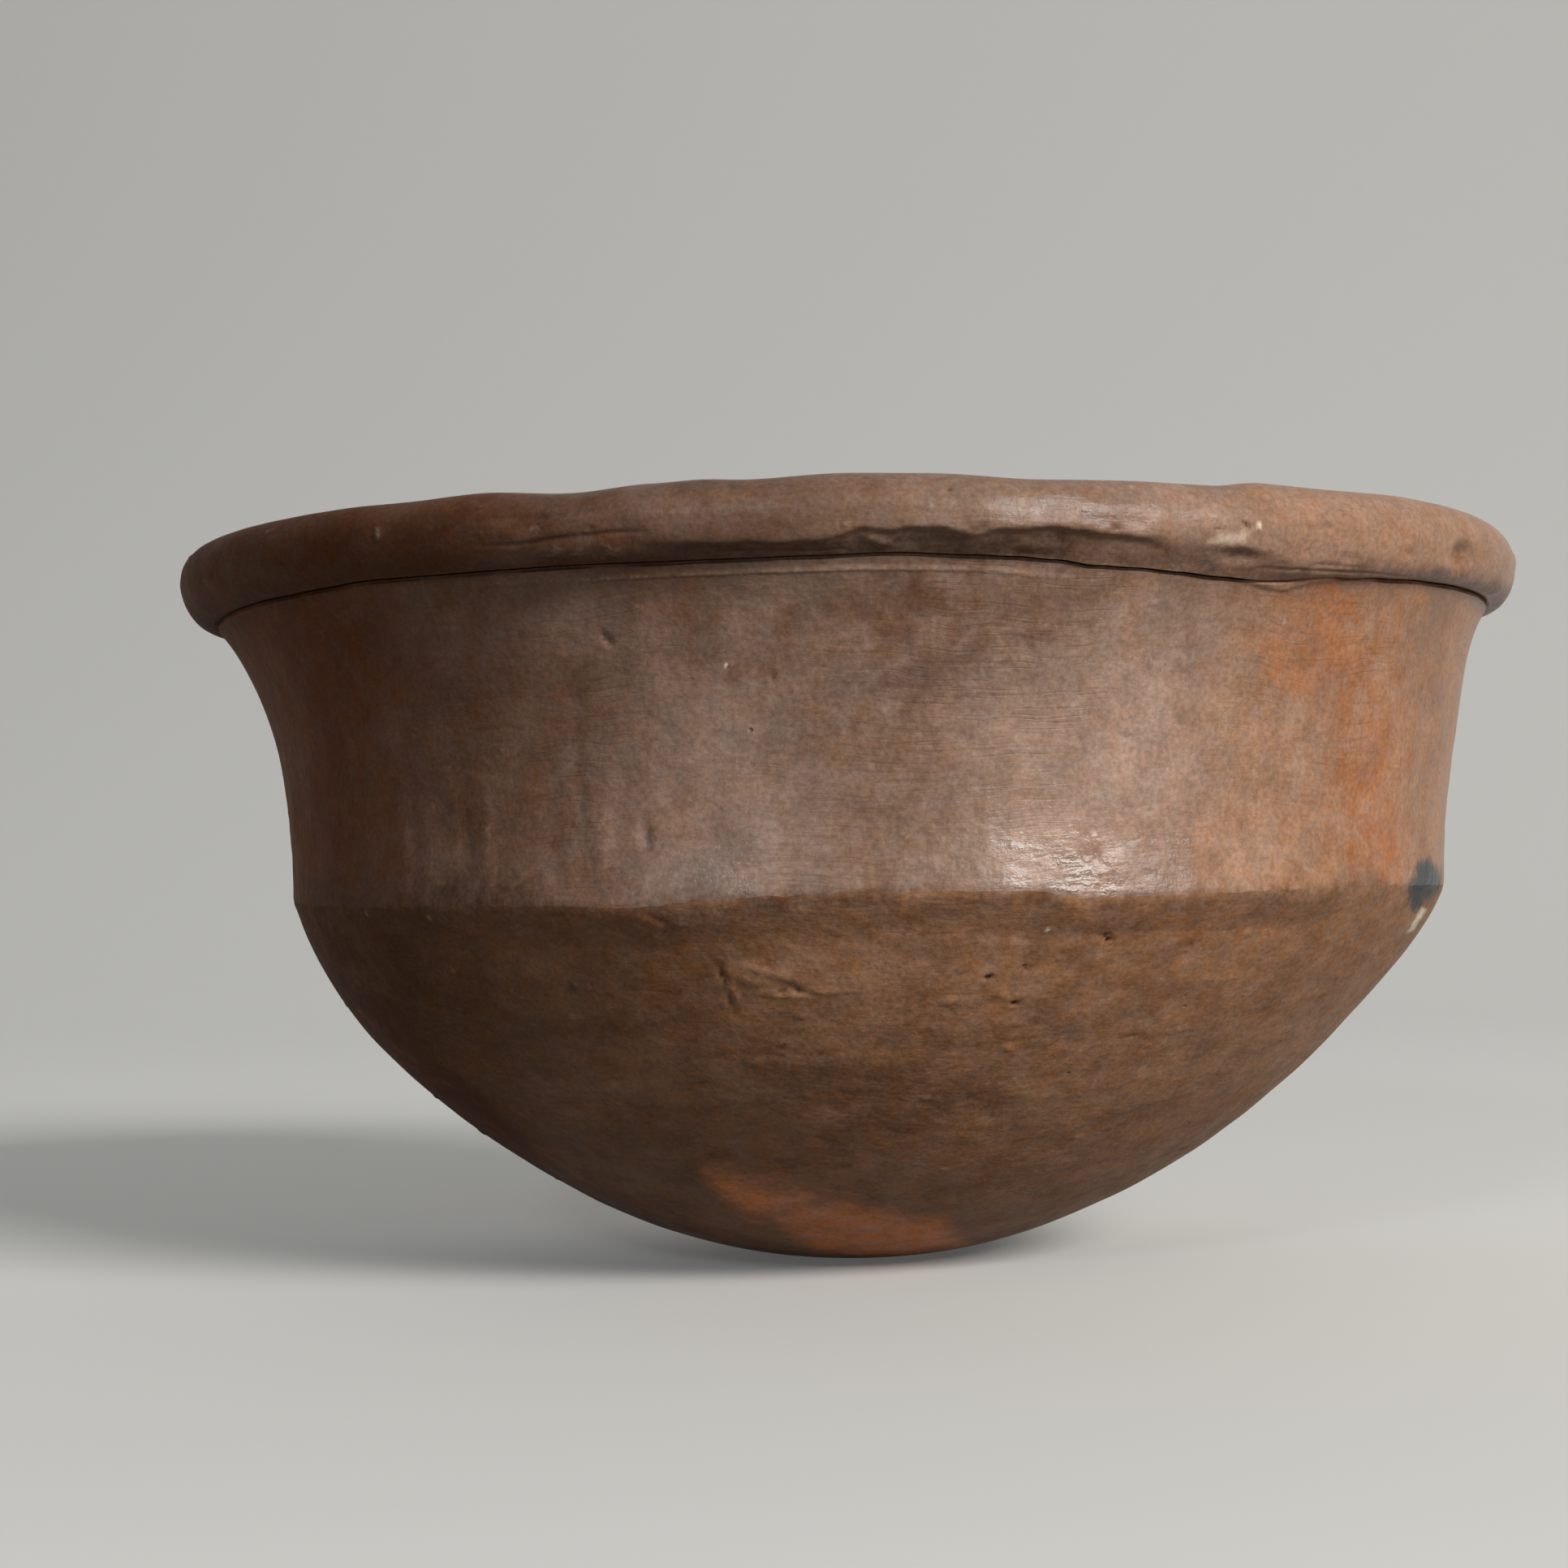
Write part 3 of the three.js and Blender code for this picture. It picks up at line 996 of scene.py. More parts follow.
# %% Marks on the wall
# grime in these grooves, pits and dents also paints their shade
WALL_SCORES = {
    "raised line": (
        [(560, 723), (650, 717), (750, 712), (850, 707), (950, 703), (1050, 700), (1150, 700), (1230, 703),
         (1330, 714)],
        1.7, -0.28, {"wear_and_highlight": 0.4},
    ),
    "tag line": ([(1565, 710), (1610, 710), (1660, 713)], 0.9, 0.25, {"grime_and_shade": 0.5}),
    "lower tag line": ([(1550, 716), (1600, 717), (1650, 717)], 0.9, 0.25, {"grime_and_shade": 0.5}),
    "nail mark": ([(738, 776), (748, 788), (757, 796)], 2.0, 0.8, {"grime_and_shade": 0.5}),
    "curl in the polish": ([(1330, 1042), (1338, 1056), (1350, 1054), (1353, 1042)], 1.6, 0.45, {"grime_and_shade": 0.3}),
    "long scratch": ([(530, 936), (590, 950), (655, 961)], 1.6, 0.2, {"grime_and_shade": 0.3}),
    "scraped band": ([(708, 850), (712, 960), (716, 1095)], 5, 0.25, {"grime_and_shade": 0.12}),
    "second scraped band": ([(568, 950), (572, 1010), (575, 1098)], 6, 0.3, {"grime_and_shade": 0.2}),
    "third scraped band": ([(506, 950), (508, 1020), (510, 1100)], 5, 0.25, {"grime_and_shade": 0.2}),
    "raised band": ([(598, 960), (602, 1030), (604, 1100)], 5, -0.2, {"wear_and_highlight": 0.22}),
    "second raised band": ([(664, 980), (668, 1040), (668, 1104)], 6, -0.2, {"wear_and_highlight": 0.22}),
    "third raised band": ([(742, 1000), (745, 1050), (748, 1100)], 6, -0.2, {"wear_and_highlight": 0.25}),
}
WALL_PRESSES = {
    "pock": ((640, 785), 4, 3, 0.4, 30, {"grime_and_shade": 0.4}),
    "slit": ((952, 835), 1.6, 3.4, 0.5, 0, {"grime_and_shade": 0.7}),
    "dent over the ridge": ((795, 1030), 4, 9, 0.5, 10, {"grime_and_shade": 0.15}),
    "lime grain": ((895, 820), 1.3, 1.3, -0.1, 0, {"lime": 1.0}),
}
WALL_PATCHES = {
    "tag": (
        [(1518, 708), (1570, 704), (1655, 710), (1605, 721), (1578, 730), (1548, 722)],
        -0.7, 2.5, {"wear_and_highlight": 0.15},
    ),
    "fire cloud": (
        [(1746, 1062), (1760, 1056), (1776, 1074), (1782, 1100), (1738, 1100), (1741, 1080)],
        0, 11, {"soot": 0.95},
    ),
    "polished flat": ([(1228, 1036), (1300, 1008), (1384, 1010), (1390, 1102), (1240, 1096)], 0, 16, {"polish": 0.9}),
    "left polished flat": ([(805, 1045), (860, 1005), (930, 1035), (930, 1106), (805, 1110)], 0, 20, {"polish": 1.0}),
}
lay_marks(wall_clay, WALL_SCORES, WALL_PRESSES, WALL_PATCHES)

# %% [markdown]
# ## Marks on the base
# The base was shaped first and handled most. Under the ridge a gouge ends in a smear of clay with two
# pits in it, farther right another drag ends in a pit, and low down the flame left a red patch where
# the smoke didn't reach. The red could be a stain in the material, but its outline is drawn here with
# the rest, so that all that was seen stands in one list.

# %% Marks on the base
# grime in these gouges, slits and pits also paints their shade
BASE_SCORES = {
    "gouge": ([(883, 1183), (888, 1198), (897, 1213)], 1.7, 0.6, {"grime_and_shade": 0.6}),
    "gouge's tail": ([(897, 1222), (902, 1240), (908, 1256)], 1.7, 0.35, {"grime_and_shade": 0.4}),
    "slit": ([(1362, 1150), (1368, 1168)], 1.5, 1.0, {"grime_and_shade": 1.0}),
    "gouge's lip": ([(893, 1187), (899, 1210), (911, 1238)], 1.6, -0.35, {"wear_and_highlight": 0.35}),
    "smear's upper edge": ([(898, 1197), (925, 1192), (958, 1200), (988, 1210)], 3.6, -0.25, {"wear_and_highlight": 0.6}),
    "smear's lower edge": ([(915, 1216), (950, 1226), (1000, 1228), (1045, 1222)], 2.4, -0.12, {"wear_and_highlight": 0.5}),
    "crumb line": ([(788, 1122), (815, 1135), (838, 1150)], 1.8, 0.45, {"grime_and_shade": 0.4}),
    "scratch": ([(1180, 1290), (1260, 1282), (1340, 1270)], 1.2, 0.15, {"wear_and_highlight": 0.2}),
    "low scratch": ([(1000, 1460), (1060, 1470), (1120, 1490)], 1.4, 0.2, {"grime_and_shade": 0.3}),
}
BASE_PRESSES = {
    "smear's hollow": ((972, 1216), 6, 2.6, 0.35, -8, {"grime_and_shade": 0.2}),
    "smear's end": ((1012, 1221), 8, 2.6, -0.3, 0, {"wear_and_highlight": 0.5}),
    "smear's tongue": ((925, 1208), 9, 4.2, -0.3, -12, {"wear_and_highlight": 0.6}),
    "pit in the smear": ((964, 1222), 2, 2, 0.7, 0, {"grime_and_shade": 0.9}),
    "second pit": ((983, 1221), 2, 2, 0.7, 0, {"grime_and_shade": 0.9}),
    "drag": ((1234, 1224), 8, 3.6, -0.2, -35, {"wear_and_highlight": 0.5}),
    "drag's first pit": ((1218, 1205), 2.4, 2, 0.8, 0, {"grime_and_shade": 1.0}),
    "drag's last pit": ((1250, 1237), 2.2, 1.9, 0.9, 0, {"grime_and_shade": 1.0}),
    "flake": ((1393, 1279), 5.5, 2.2, 0.35, 10, {"wear_and_highlight": 0.65}),
    "flake's tail": ((1412, 1287), 3, 1.6, -0.2, 0, {"wear_and_highlight": 0.5}),
    "lime grain": ((1290, 1146), 1.7, 1.6, -0.25, 0, {"lime": 0.9}),
    "low lime grain": ((1352, 1331), 1.2, 1.2, -0.1, 0, {"lime": 0.9}),
    "left lime grain": ((632, 1221), 1.1, 1.1, -0.1, 0, {"lime": 0.6}),
    "upright fleck": ((1284, 1205), 1.8, 4, -0.15, 0, {"wear_and_highlight": 0.35}),
    "right fleck": ((1535, 1150), 6, 2.2, -0.2, 0, {"wear_and_highlight": 0.4}),
    "low fleck": ((1393, 1374), 4, 1.2, -0.1, 0, {"wear_and_highlight": 0.4}),
    "ring": ((1140, 1360), 4, 3, 0.25, 0, {"wear_and_highlight": 0.25}),
    "pale spot": ((992, 1375), 3.2, 2.6, -0.15, 0, {"wear_and_highlight": 0.4}),
    "crumb hollow": ((822, 1152), 5, 5, 0.5, 0, {"grime_and_shade": 0.3}),
    "dot": ((1055, 1518), 1.8, 1.8, 0.4, 0, {"grime_and_shade": 1.0}),
}
BASE_PATCHES = {
    "flame patch": (
        [(872, 1446), (935, 1450), (1000, 1472), (1020, 1500), (935, 1500), (888, 1478)],
        0, 38, {"ember": 0.85},
    ),
    "flame patch's foot": (
        [(955, 1500), (1020, 1486), (1100, 1500), (1160, 1512), (1182, 1532), (1110, 1548), (1010, 1540)],
        0, 38, {"ember": 1.15},
    ),
    "smear": (
        [(892, 1194), (925, 1187), (962, 1197), (1005, 1204), (1050, 1211), (1042, 1226), (1000, 1231),
         (950, 1226), (912, 1214)],
        -0.1, 12, {"wear_and_highlight": 0.36},
    ),
    "fire cloud": (
        [(1738, 1080), (1784, 1080), (1768, 1104), (1744, 1126), (1734, 1122), (1734, 1104)],
        0, 11, {"soot": 0.92},
    ),
    "pale chip": ([(1752, 1117), (1758, 1121), (1741, 1147), (1734, 1149)], 0, 4, {"lime": 0.95}),
}
lay_marks(base_clay, BASE_SCORES, BASE_PRESSES, BASE_PATCHES)

# %% [markdown]
# ## Crumbs and flakes
# Sand and straw in the clay drag under the stone and leave small pocks and crumbs all round the bowl,
# and on one part of the wall the skin has flaked. A particle system could strew them. A seeded chance
# over a range of turns and heights is enough, and comes out the same each time. Hollows take a little
# grime and painted shade, and crumbs are rubbed a little pale.

# %% Strewn crumbs
CRUMB_LEAN = 40
# grime in a crumb's hollow also paints its shade
CRUMB_GRIME_AND_SHADE = 1.6
CRUMB_WEAR = 1.4
ALL_ROUND = (-math.pi, math.pi)
FLAKED_TURNS = (math.radians(13), math.radians(29))
BEHIND = (math.radians(78), math.radians(282))


def strew(clay, seed, count, turns, heights, sizes, depth):
    """Presses crumbs and pocks by chance; heights, sizes and depth are in millimetres."""
    chance = random.Random(seed)
    for _ in range(count):
        spot = clay.spot_round(chance.uniform(*turns), chance.uniform(*heights) * MM)
        size, amount = chance.uniform(*sizes), chance.uniform(-1, 1)
        tints = {"grime_and_shade": CRUMB_GRIME_AND_SHADE * depth * amount} if amount > 0 else {"wear_and_highlight": -CRUMB_WEAR * depth * amount}
        lean = chance.uniform(-CRUMB_LEAN, CRUMB_LEAN)
        press(clay, spot, size * chance.uniform(1, 2), size, depth * amount, lean, tints)
    print(count, "crumbs", sizes[0], "to", sizes[1], "mm across")


strew(base_clay, 3, 300, ALL_ROUND, (14, 72), (1.4, 3.2), 0.38)
strew(base_clay, 4, 40, ALL_ROUND, (20, 70), (4, 9), 0.35)
strew(wall_clay, 5, 90, FLAKED_TURNS, (101, 127), (1.6, 3.4), 0.2)
strew(wall_clay, 6, 200, ALL_ROUND, (80, 128), (1.4, 3.2), 0.18)
strew(rim_clay, 7, 120, ALL_ROUND, (138, 147), (1.2, 2.6), 0.25)
strew(base_clay, 8, 26, BEHIND, (20, 70), (5, 9), 0.5)
strew(wall_clay, 9, 16, BEHIND, (84, 126), (5, 9), 0.4)
strew(rim_clay, 10, 22, BEHIND, (138, 146), (5, 9), 0.5)

# %% [markdown]
# ## Laps and scrapes behind
# The back was worked in the same way as the front, so it has laps on the roll and scraped bands on
# the wall of its own. The front's could be mirrored, but a bowl doesn't repeat itself. Their lines
# are given as turns round the bowl in degrees and heights in millimetres.

# %% Marks behind
# grime in the laps also paints their shade
BACK_LAPS = {
    "long lap": ([(96, 142), (108, 143.4), (122, 144.2), (136, 143.6)], 2.8, 0.6, {"grime_and_shade": 0.5}),
    "lap's edge": ([(98, 143.8), (110, 145), (124, 145.6)], 3.2, -0.3, {"wear_and_highlight": 0.3}),
    "short lap": ([(163, 140.6), (172, 141.6), (182, 141.2)], 2.8, 0.5, {"grime_and_shade": 0.5}),
    "crossing lap": ([(205, 144), (216, 142.2), (229, 141)], 2.8, 0.6, {"grime_and_shade": 0.5}),
    "low lap": ([(240, 139.4), (252, 140.2), (262, 141.6)], 2.8, 0.5, {"grime_and_shade": 0.5}),
}
BACK_SCRAPES = {
    "scraped band": ([(112, 82), (113, 97), (112, 112)], 7, 0.35, {"grime_and_shade": 0.25}),
    "narrow scraped band": ([(124, 80), (124, 92), (125, 101)], 6, 0.3, {"grime_and_shade": 0.25}),
    "raised band": ([(152, 82), (153, 96), (153, 114)], 7, -0.3, {"wear_and_highlight": 0.25}),
    "level scratch": ([(170, 104), (182, 105), (194, 103.6)], 3, 0.3, {"grime_and_shade": 0.35}),
    "far scraped band": ([(212, 80), (213, 96), (212, 108)], 7, 0.35, {"grime_and_shade": 0.25}),
    "far raised band": ([(236, 82), (237, 96), (236, 110)], 7, -0.3, {"wear_and_highlight": 0.25}),
}
for clay, scores in ((rim_clay, BACK_LAPS), (wall_clay, BACK_SCRAPES)):
    for line, width, depth, tints in scores.values():
        spots = [clay.spot_round(math.radians(turn), height * MM) for turn, height in line]
        score(clay, spots, width, depth, tints)
print(len(BACK_LAPS), "laps and", len(BACK_SCRAPES), "scrapes behind")

# %% [markdown]
# ## Painted shade along the ridge and the roll
# Either side of the ridge and along the underside of the roll the clay is painted darker all the way
# round, as the shade that gathers there, and on the shaded left the foot of the wall is painted darker
# gradually to the ridge. An ambient occlusion node could find such places, but not how far the shade
# reaches. It is laid into the grime tint by turn and height, with a slow noise that breaks it up.

# %% Painted shade along the edges
UNDER_RIDGE_SHADE = 0.34
UNDER_RIDGE_SHADE_REACH = (0.5 * MM, 5.5 * MM)
WALL_FOOT_SHADE = 0.42
WALL_FOOT_SHADE_REACH = 3 * MM
LEFT_FOOT_SHADE = 0.7
LEFT_FOOT_SHADE_REACH = 13 * MM
LEFT_FOOT_SHADE_TURNS = (math.radians(17), math.radians(36))
CREASE_SHADE = 0.5
CREASE_SHADE_REACH = (0.8 * MM, 5 * MM)
SHADE_PATCH = 22 * MM
SHADE_MEAN = 0.75
SHADE_VARIES = 0.5


def paint_edge_shade(clay, amount, sheltered):
    """Paints shade into the grime tint where a rule says how near a vertex lies to a sheltered edge."""
    layer = clay.layers["grime_and_shade"]
    outside = [vertex for vertex in clay.shape.verts if vertex.normal.dot(outward(vertex.co)) > 0]
    for vertex in outside:
        patchy = SHADE_MEAN + SHADE_VARIES * noise.noise(vertex.co / SHADE_PATCH)
        grime_and_shade = amount * patchy * sheltered(turn_at(vertex.co), vertex.co.z)
        vertex[layer] = max(vertex[layer], grime_and_shade)
    print(sum(vertex[layer] > 0 for vertex in outside), "vertices have grime")


def over_ridge(turn, height):
    return height - BASE_HEIGHT - along_line(ridge_line, turn)


def under_the_ridge(turn, height):
    return 1 - smooth(-over_ridge(turn, height), *UNDER_RIDGE_SHADE_REACH)


def wall_foot(turn, height):
    return 1 - smooth(over_ridge(turn, height), 0, WALL_FOOT_SHADE_REACH)


def shaded_left_foot(turn, height):
    return (1 - smooth(over_ridge(turn, height), 0, LEFT_FOOT_SHADE_REACH)) * smooth(-turn, *LEFT_FOOT_SHADE_TURNS)


def roll_underside(turn, height):
    return 1 - smooth(height - crease.z - along_line(crease_line, turn), *CREASE_SHADE_REACH)


# painted shade under the ridge, at the wall's foot, on the shaded left and under the roll
paint_edge_shade(base_clay, UNDER_RIDGE_SHADE, under_the_ridge)
paint_edge_shade(wall_clay, WALL_FOOT_SHADE, wall_foot)
paint_edge_shade(wall_clay, LEFT_FOOT_SHADE, shaded_left_foot)
paint_edge_shade(rim_clay, CREASE_SHADE, roll_underside)

# %% [markdown]
# ## The finished members
# Each shape becomes a mesh and an object. It could keep flat faces at this fineness, but smooth
# shading with sharp edges at the bevel and the groove costs nothing. The object takes the place of
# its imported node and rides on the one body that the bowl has.

# %% Finishing the members
SHARP_ANGLE = math.radians(60)


def finish_member(shape, name, node):
    mesh = bpy.data.meshes.new(name)
    shape.to_mesh(mesh)
    shape.free()
    mesh.polygons.foreach_set("use_smooth", [True] * len(mesh.polygons))
    mesh.set_sharp_from_angle(angle=SHARP_ANGLE)
    member = bpy.data.objects.new(name, mesh)
    bpy.context.scene.collection.objects.link(member)
    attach(member, "root")
    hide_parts(node)
    print(name, len(mesh.vertices), "vertices,", 2 * len(mesh.polygons), "triangles at most")
    return member


round_base = finish_member(base_shape, "burnished_base", "round_base")
flared_wall = finish_member(wall_shape, "burnished_wall", "flared_wall")
rolled_rim = finish_member(rim_shape, "folded_rim", "rolled_rim")

# %% [markdown]
# ## Helpers for shaders
# Fired clay has no pattern that repeats, so every finish is worked out from noise at object
# coordinates. Nodes could be placed in the shader editor. Short helpers that add one node with its
# settings and inputs keep the recipe readable as text. A colour is given as a screen shows it and
# turned to the linear values that a shader works with.

# %% Node helpers
def srgb(red, green, blue):
    def linear(level):
        share = level / 255
        return share / 12.92 if share <= 0.04045 else ((share + 0.055) / 1.055) ** 2.4
    return (linear(red), linear(green), linear(blue), 1)


def add(tree, kind, inputs, **settings):
    made = tree.nodes.new(kind)
    for name, value in settings.items():
        setattr(made, name, value)
    for socket, value in inputs.items():
        if isinstance(value, bpy.types.NodeSocket):
            tree.links.new(value, made.inputs[socket])
        else:
            made.inputs[socket].default_value = value
    return made


def maths(tree, operation, first, second):
    return add(tree, "ShaderNodeMath", {0: first, 1: second}, operation=operation).outputs[0]


def between(tree, value, low, high, bottom=0.0, top=1.0):
    inputs = {"Value": value, "From Min": low, "From Max": high, "To Min": bottom, "To Max": top}
    return add(tree, "ShaderNodeMapRange", inputs, interpolation_type="SMOOTHSTEP").outputs[0]


def mixed(tree, share, first, second):
    return add(tree, "ShaderNodeMix", {0: share, 6: first, 7: second}, data_type="RGBA").outputs[2]


def scaled(tree, vector, scale):
    return add(tree, "ShaderNodeVectorMath", {0: vector, "Scale": scale}, operation="SCALE").outputs[0]


print("mid grey is", round(srgb(128, 128, 128)[0], 3), "in linear light")

# %% [markdown]
# ## Noise and node groups
# Smoke, grain and streaks differ in how fine their noise is and how far it is flattened: clay that is
# worked level smears what lies in it. A Mapping node could flatten the noise, but here the amount is
# a group's input, so the height is multiplied instead. An effect that all three clays share is made
# once as a node group with named sockets.

# %% Noise and group helpers
def grains(tree, place, scale, detail=4.0, roughness=0.55, distortion=0.0):
    inputs = {"Vector": place, "Scale": scale, "Detail": detail, "Roughness": roughness, "Distortion": distortion}
    return add(tree, "ShaderNodeTexNoise", inputs).outputs[0]


def parts_of(tree, place):
    return add(tree, "ShaderNodeSeparateXYZ", {0: place}).outputs


def flattened(tree, place, times):
    """A place with its height multiplied, so that a noise read there lies flat."""
    parts = parts_of(tree, place)
    height = maths(tree, "MULTIPLY", parts[2], times)
    return add(tree, "ShaderNodeCombineXYZ", {0: parts[0], 1: parts[1], 2: height}).outputs[0]


def new_group(name, inputs, outputs):
    group = bpy.data.node_groups.new(name, "ShaderNodeTree")
    for title, kind in inputs:
        group.interface.new_socket(title, in_out="INPUT", socket_type="NodeSocket" + kind)
    for title, kind in outputs:
        group.interface.new_socket(title, in_out="OUTPUT", socket_type="NodeSocket" + kind)
    print(name, "takes", ", ".join(title for title, _ in inputs), "and gives", outputs[0][0])
    return group, group.nodes.new("NodeGroupInput").outputs, group.nodes.new("NodeGroupOutput").inputs


print("groups so far:", len(bpy.data.node_groups))

# %% [markdown]
# ## Smoke, flame and painted shade
# An open fire colours clay unevenly: dark brown where it was starved of air, pinkish grey where the
# smoke lay, orange where the flame drew past. The dark brown of the left is also painted shade, for the
# side turned away from the key lamp. A painted map could show it. Slow noise along X gives the change
# from the smoked and shaded side to the flame's side, and a finer, flattened noise lays the smoke,
# which thins out where the flame drew it off.

# %% Group: fired clay
SWAY_FINENESS = 16
SWAY = 0.16
ROSY_RISE = 0.085
FLAME_SIDE = (0.03, 0.105)
SMOKE_FINENESS = 42
SMOKE_EDGE = (0.45, 0.66)
SPECKLE_FINENESS = 300
SPECKLE = 0.4
DRAWN_OFF = (0.045, 0.095)
SMOKE_LEFT = 0.35


def fired_clay():
    group, given, out = new_group(
        "fired_clay",
        [("Place", "Vector"), ("Dark", "Color"), ("Rosy", "Color"), ("Warm", "Color"),
         ("Smoke", "Color"), ("Smoke Share", "Float"), ("Smoked And Shaded Side", "Float"), ("Flattening", "Float")],
        [("Color", "Color")],
    )
    place = given["Place"]
    across = parts_of(group, place)[0]
    sway = maths(group, "SUBTRACT", grains(group, place, SWAY_FINENESS), 0.5)
    swayed = maths(group, "ADD", across, maths(group, "MULTIPLY", sway, SWAY))
    # the dark tone on this side is partly smoke and partly painted shade
    shaded = maths(group, "SUBTRACT", swayed, given["Smoked And Shaded Side"])
    left = mixed(group, between(group, shaded, 0.0, ROSY_RISE), given["Dark"], given["Rosy"])
    body = mixed(group, between(group, swayed, *FLAME_SIDE), left, given["Warm"])
    smeared = flattened(group, place, given["Flattening"])
    cloud = grains(group, smeared, SMOKE_FINENESS, detail=8, roughness=0.7, distortion=0.6)
    speckle = maths(group, "SUBTRACT", grains(group, place, SPECKLE_FINENESS, detail=5, roughness=0.7), 0.5)
    patchy = maths(group, "ADD", cloud, maths(group, "MULTIPLY", speckle, SPECKLE))
    drawn_off = between(group, across, *DRAWN_OFF, 1.0, SMOKE_LEFT)
    lying = maths(group, "MULTIPLY", given["Smoke Share"], drawn_off)
    share = maths(group, "MULTIPLY", between(group, patchy, *SMOKE_EDGE), lying)
    group.links.new(mixed(group, share, body, given["Smoke"]), out["Color"])
    return group


fired = fired_clay()

# %% [markdown]
# ## Mottle and grain
# Close up, no colour of the clay is even: it is mottled over a centimetre, grained like fine sand and
# a little stronger or greyer from place to place. Each colour could be given its own noise. The
# group is laid over all of them at the end instead, so that stains and smears are mottled too.

# %% Group: clay grain
MOTTLE_FINENESS = 110
MOTTLE_SPREAD = (0.28, 0.72)
MOTTLE = (-0.24, 0.23)
SAND_FINENESS = 1000
SAND_SPREAD = (0.25, 0.75)
SAND = (0.77, 1.21)
STRENGTH_FINENESS = 210
STRENGTH_SPREAD = (0.3, 0.7)
STRENGTH = (0.88, 1.12)


def clay_grain():
    group, given, out = new_group(
        "clay_grain", [("Place", "Vector"), ("Color", "Color"), ("Flattening", "Float"), ("Mottling", "Float")],
        [("Color", "Color")],
    )
    place = given["Place"]
    smeared = flattened(group, place, given["Flattening"])
    blotchy = grains(group, smeared, MOTTLE_FINENESS, detail=8, roughness=0.7)
    uneven = between(group, blotchy, *MOTTLE_SPREAD, *MOTTLE)
    mottle = maths(group, "ADD", maths(group, "MULTIPLY", uneven, given["Mottling"]), 1.0)
    gritty = grains(group, place, SAND_FINENESS, detail=3, roughness=0.7)
    sand = between(group, gritty, *SAND_SPREAD, *SAND)
    colour = scaled(group, given["Color"], maths(group, "MULTIPLY", mottle, sand))
    shifting = grains(group, place, STRENGTH_FINENESS, detail=6, roughness=0.72)
    inputs = {"Saturation": between(group, shifting, *STRENGTH_SPREAD, *STRENGTH), "Color": colour}
    group.links.new(add(group, "ShaderNodeHueSaturation", inputs).outputs[0], out["Color"])
    return group


grain = clay_grain()

# %% [markdown]
# ## Burnish
# A smooth stone rubbed round the half-dry bowl leaves fine level streaks. They could be thin scores
# in the mesh, but there are thousands. They come from a noise that is flattened very much, with a
# slower noise that lets the streaks wander and another that leaves parts of the clay unstreaked.

# %% Group: burnish
STREAK_SWAY_FINENESS = 18
STREAK_SWAY = 0.012
STREAK_FLATTENING = 26.0
STREAK_EDGE = (0.5, 0.66)
STROKED_FINENESS = 26
STROKED_EDGE = (0.45, 0.6)


def burnish_streaks():
    group, given, out = new_group(
        "burnish_streaks", [("Place", "Vector"), ("Fineness", "Float")], [("Streak", "Float")],
    )
    place = given["Place"]
    sway = maths(group, "MULTIPLY", grains(group, place, STREAK_SWAY_FINENESS, detail=3), STREAK_SWAY)
    swayed = add(group, "ShaderNodeCombineXYZ", {2: sway}).outputs[0]
    wandering = add(group, "ShaderNodeVectorMath", {0: place, 1: swayed}, operation="ADD").outputs[0]
    level = flattened(group, wandering, STREAK_FLATTENING)
    line = between(group, grains(group, level, given["Fineness"]), *STREAK_EDGE)
    here = between(group, grains(group, place, STROKED_FINENESS, roughness=0.6), *STROKED_EDGE)
    group.links.new(maths(group, "MULTIPLY", line, here), out["Streak"])
    return group


burnish = burnish_streaks()

# %% [markdown]
# ## Wet smoothing
# Clay smoothed wet stays slightly uneven, like the skin of an orange, with long level strokes and a
# fine grain on top. It could be added to the lumps of the mesh. The height goes to a bump, because
# it is too small to be worth any vertices.

# %% Group: wet smoothing
SWELL_FINENESS = 70
SWELL_HEIGHT = 2.0
PEEL_FINENESS = 210
PEEL_HEIGHT = 1.2
STROKE_FINENESS = 48
STROKE_FLATTENING = 5.0
STROKE_HEIGHT = 1.3
FINE_FINENESS = 800


def wet_smoothing():
    group, given, out = new_group("wet_smoothing", [("Place", "Vector"), ("Grain", "Float")], [("Height", "Float")])
    place = given["Place"]
    swelling = grains(group, place, SWELL_FINENESS, detail=3, roughness=0.5)
    peeling = grains(group, place, PEEL_FINENESS, detail=4, roughness=0.6)
    level = flattened(group, place, STROKE_FLATTENING)
    stroked = grains(group, level, STROKE_FINENESS, detail=4, roughness=0.6, distortion=0.3)
    sanded = grains(group, place, FINE_FINENESS, detail=3, roughness=0.65)
    swell = maths(group, "MULTIPLY", swelling, SWELL_HEIGHT)
    peel = maths(group, "MULTIPLY", peeling, PEEL_HEIGHT)
    stroke = maths(group, "MULTIPLY", stroked, STROKE_HEIGHT)
    fine = maths(group, "MULTIPLY", sanded, given["Grain"])
    uneven = maths(group, "ADD", swell, peel)
    group.links.new(maths(group, "ADD", maths(group, "ADD", uneven, stroke), fine), out["Height"])
    return group


smoothing = wet_smoothing()

# %% [markdown]
# ## Grit and pits
# Sand in the clay drags out under the stone and leaves pits as small as a pin's head. The larger ones
# are in the mesh already. A cell noise scatters the small ones, and only the cells whose own chance
# is low enough hold one.

# %% Group: pits
PIT_EDGE = (0.4, 1.0)


